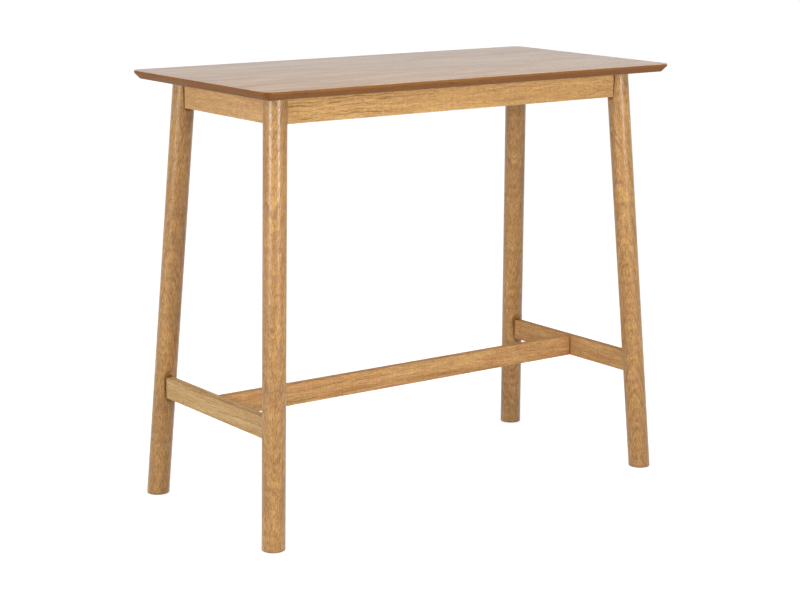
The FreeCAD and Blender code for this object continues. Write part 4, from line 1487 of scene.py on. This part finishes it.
class BAR_TABLE_OT_top_screws(bpy.types.Operator):
    """Drive the screws up through the aprons"""
    bl_idname = "bar_table.top_screws"
    bl_label = "Top screws"

    def execute(self, context):
        settings = context.scene.bar_table
        hardware = settings.hardware
        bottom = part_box("top_screws")[0].z
        screws = []
        for x, y in [spot for side in SIDES for spot in screw_spots(side)]:
            for part in (screw_head_shape(hardware, bottom),
                         screw_shank_shape(hardware, bottom + hardware.screw_head_height)):
                screws.append(moved(part, Matrix.Translation((x, y, 0))))
        keep_piece("driven_screws", join(screws), plated_steel(settings), "top_screws")
        return {"FINISHED"}


class BAR_TABLE_OT_glides(bpy.types.Operator):
    """Stick the felt glides under the feet"""
    bl_idname = "bar_table.glides"
    bl_label = "Felt glides"

    def execute(self, context):
        settings = context.scene.bar_table
        low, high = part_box("foot_glides")
        radius = settings.hardware.glide_diameter / 2
        ease = settings.hardware.glide_arris
        rim = [(radius - ease * (1 - math.sin(math.radians(turn))),
                low.z + ease * (1 - math.cos(math.radians(turn)))) for turn in GLIDE_TURNS]
        pads = [moved(lathe(rim + [(radius, high.z)], DISC_SIDES),
                      Matrix.Translation((x * (high.x - radius), y * (high.y - radius), 0)))
                for x, y in CORNERS.values()]
        keep_piece("felt_pads", join(pads), make_felt(settings.finish), "foot_glides")
        return {"FINISHED"}


# Stage

WHITE = (1, 1, 1, 1)
# Half the side of the floor
FLOOR_HALF = 30
# Width of a lamp's beam in degrees, with a grid before it and without
GRID_BEAM = 40
OPEN_BEAM = 180
# Width of the camera's sensor in millimetres
SENSOR_WIDTH = 36


def add_lamp(name, place, target, size, power, beam):
    """Soft rectangular lamp of this width and height that faces a target."""
    data = bpy.data.lights.new(name, "AREA")
    data.shape = "RECTANGLE"
    data.size, data.size_y = size
    data.energy = power
    data.spread = math.radians(beam)
    lamp = bpy.data.objects.new(name, data)
    lamp.location = place
    lamp.rotation_euler = (Vector(target) - Vector(place)).to_track_quat("-Z", "Y").to_euler()
    bpy.context.scene.collection.objects.link(lamp)


def seen_directly(tree):
    """1 for rays that see or mirror the surround, 0 for rays that carry its light."""
    path = add_node(tree, "ShaderNodeLightPath").outputs
    mirrored = calculate(tree, "MAXIMUM", path["Is Glossy Ray"], path["Is Transmission Ray"])
    return calculate(tree, "MAXIMUM", path["Is Camera Ray"], mirrored)


def make_surround(strength):
    """Even white light that shows as a white background, which a strength of 1 gives."""
    world = bpy.data.worlds.new("surround")
    world.use_nodes = True
    tree = world.node_tree
    tree.nodes.clear()
    shown = add_node(tree, "ShaderNodeBackground", {"Color": WHITE, "Strength": 1.0}).outputs[0]
    given = add_node(tree, "ShaderNodeBackground", {"Color": WHITE, "Strength": strength}).outputs[0]
    mixed = add_node(tree, "ShaderNodeMixShader", {0: seen_directly(tree), 1: given, 2: shown}).outputs[0]
    add_node(tree, "ShaderNodeOutputWorld", {"Surface": mixed})
    bpy.context.scene.world = world


def make_floor(stage):
    """Pale floor that keeps the table's shadow."""
    shape = bmesh.new()
    shape.faces.new([shape.verts.new((x * FLOOR_HALF, y * FLOOR_HALF, 0))
                     for x, y in ((-1, -1), (1, -1), (1, 1), (-1, 1))])
    floor = to_object("floor", shape)
    material, tree, shader = new_material("floor_paint")
    place = add_node(tree, "ShaderNodeTexCoord").outputs["Object"]
    clouds = noise(tree, place, scale=2.0, detail=3.0)
    paint = tint(tree, opaque(stage.floor), clouds, 0.05, WHITE[:3])
    connect(tree, shader.inputs, {"Base Color": paint, "Roughness": 0.9})
    glow = add_node(tree, "ShaderNodeEmission", {"Color": WHITE, "Strength": stage.floor_glow}).outputs[0]
    lifted = add_node(tree, "ShaderNodeAddShader", {0: shader.outputs[0], 1: glow}).outputs[0]
    shown = add_node(tree, "ShaderNodeMixShader",
                     {0: seen_directly(tree), 1: shader.outputs[0], 2: lifted}).outputs[0]
    connect(tree, tree.nodes["Material Output"].inputs, {"Surface": shown})
    floor.data.materials.append(material)


def aim_camera(stage):
    """Camera at the photograph's place, with its yaw, pitch and roll."""
    yaw, pitch, roll = stage.camera_yaw, -stage.camera_pitch, stage.camera_roll
    level = math.cos(pitch)
    forward = Vector((math.sin(yaw) * level, math.cos(yaw) * level, math.sin(pitch)))
    right = Vector((math.cos(yaw), -math.sin(yaw), 0))
    up = right.cross(forward)
    rolled_right = math.cos(roll) * right + math.sin(roll) * up
    rolled_up = math.cos(roll) * up - math.sin(roll) * right
    data = bpy.data.cameras.new("camera")
    data.sensor_width = SENSOR_WIDTH
    data.lens = stage.camera_lens
    camera = bpy.data.objects.new("camera", data)
    turn = Matrix((rolled_right, rolled_up, -forward)).transposed().to_4x4()
    camera.matrix_world = Matrix.Translation(stage.camera_place) @ turn
    bpy.context.scene.collection.objects.link(camera)
    bpy.context.scene.camera = camera


class BAR_TABLE_OT_stage(bpy.types.Operator):
    """Set up the camera, the lamps, the surround and the floor"""
    bl_idname = "bar_table.stage"
    bl_label = "Stage"

    def execute(self, context):
        stage = context.scene.bar_table.stage
        context.scene.view_settings.view_transform = "Standard"
        aim_camera(stage)
        make_surround(stage.surround)
        make_floor(stage)
        add_lamp("key_lamp", (-6.4, -1.4, 1.6), (-0.4, 0, 1.15), (2.4, 1.4), stage.key_power, GRID_BEAM)
        add_lamp("fill_lamp", (-0.1, -6.2, 1.6), (-0.1, -0.2, 1.2), (1.3, 1.4), stage.fill_power,
                 GRID_BEAM)
        add_lamp("overhead_lamp", (-0.5, -1.4, 3.4), (0, 0, 0.9), (2.4, 2.4), stage.overhead_power,
                 OPEN_BEAM)
        return {"FINISHED"}


class BAR_TABLE_PT_pieces(bpy.types.Panel):
    """Lists the pieces of the table"""
    bl_idname = "BAR_TABLE_PT_pieces"
    bl_label = "Bar table"
    bl_space_type = "VIEW_3D"
    bl_region_type = "UI"
    bl_category = "Bar table"

    def draw(self, context):
        for operator in OPERATORS:
            self.layout.operator(operator.bl_idname)


OPERATORS = (BAR_TABLE_OT_stage, BAR_TABLE_OT_face_veneer, BAR_TABLE_OT_lippings, BAR_TABLE_OT_core,
             BAR_TABLE_OT_legs, BAR_TABLE_OT_aprons, BAR_TABLE_OT_stretchers, BAR_TABLE_OT_brackets,
             BAR_TABLE_OT_bolts, BAR_TABLE_OT_top_screws, BAR_TABLE_OT_glides)
SETTINGS = (FaceVeneerLook, BackingVeneerLook, CoreLook, LippingLook, LegLook, LongApronLook,
            ShortApronLook, StretcherLook, PaintedLitStretcherLook, TopSizes, LegSizes, BoardSizes,
            HardwareSizes, HardwareLook, StageSettings, BarTableSettings)


def register():
    for each in (*SETTINGS, *OPERATORS, BAR_TABLE_PT_pieces):
        bpy.utils.register_class(each)
    bpy.types.Scene.bar_table = PointerProperty(type=BarTableSettings)


def unregister():
    del bpy.types.Scene.bar_table
    for each in reversed((*SETTINGS, *OPERATORS, BAR_TABLE_PT_pieces)):
        bpy.utils.unregister_class(each)


def main():
    register()
    for operator in OPERATORS:
        group, name = operator.bl_idname.split(".")
        getattr(getattr(bpy.ops, group), name)()


if __name__ == "__main__":
    main()
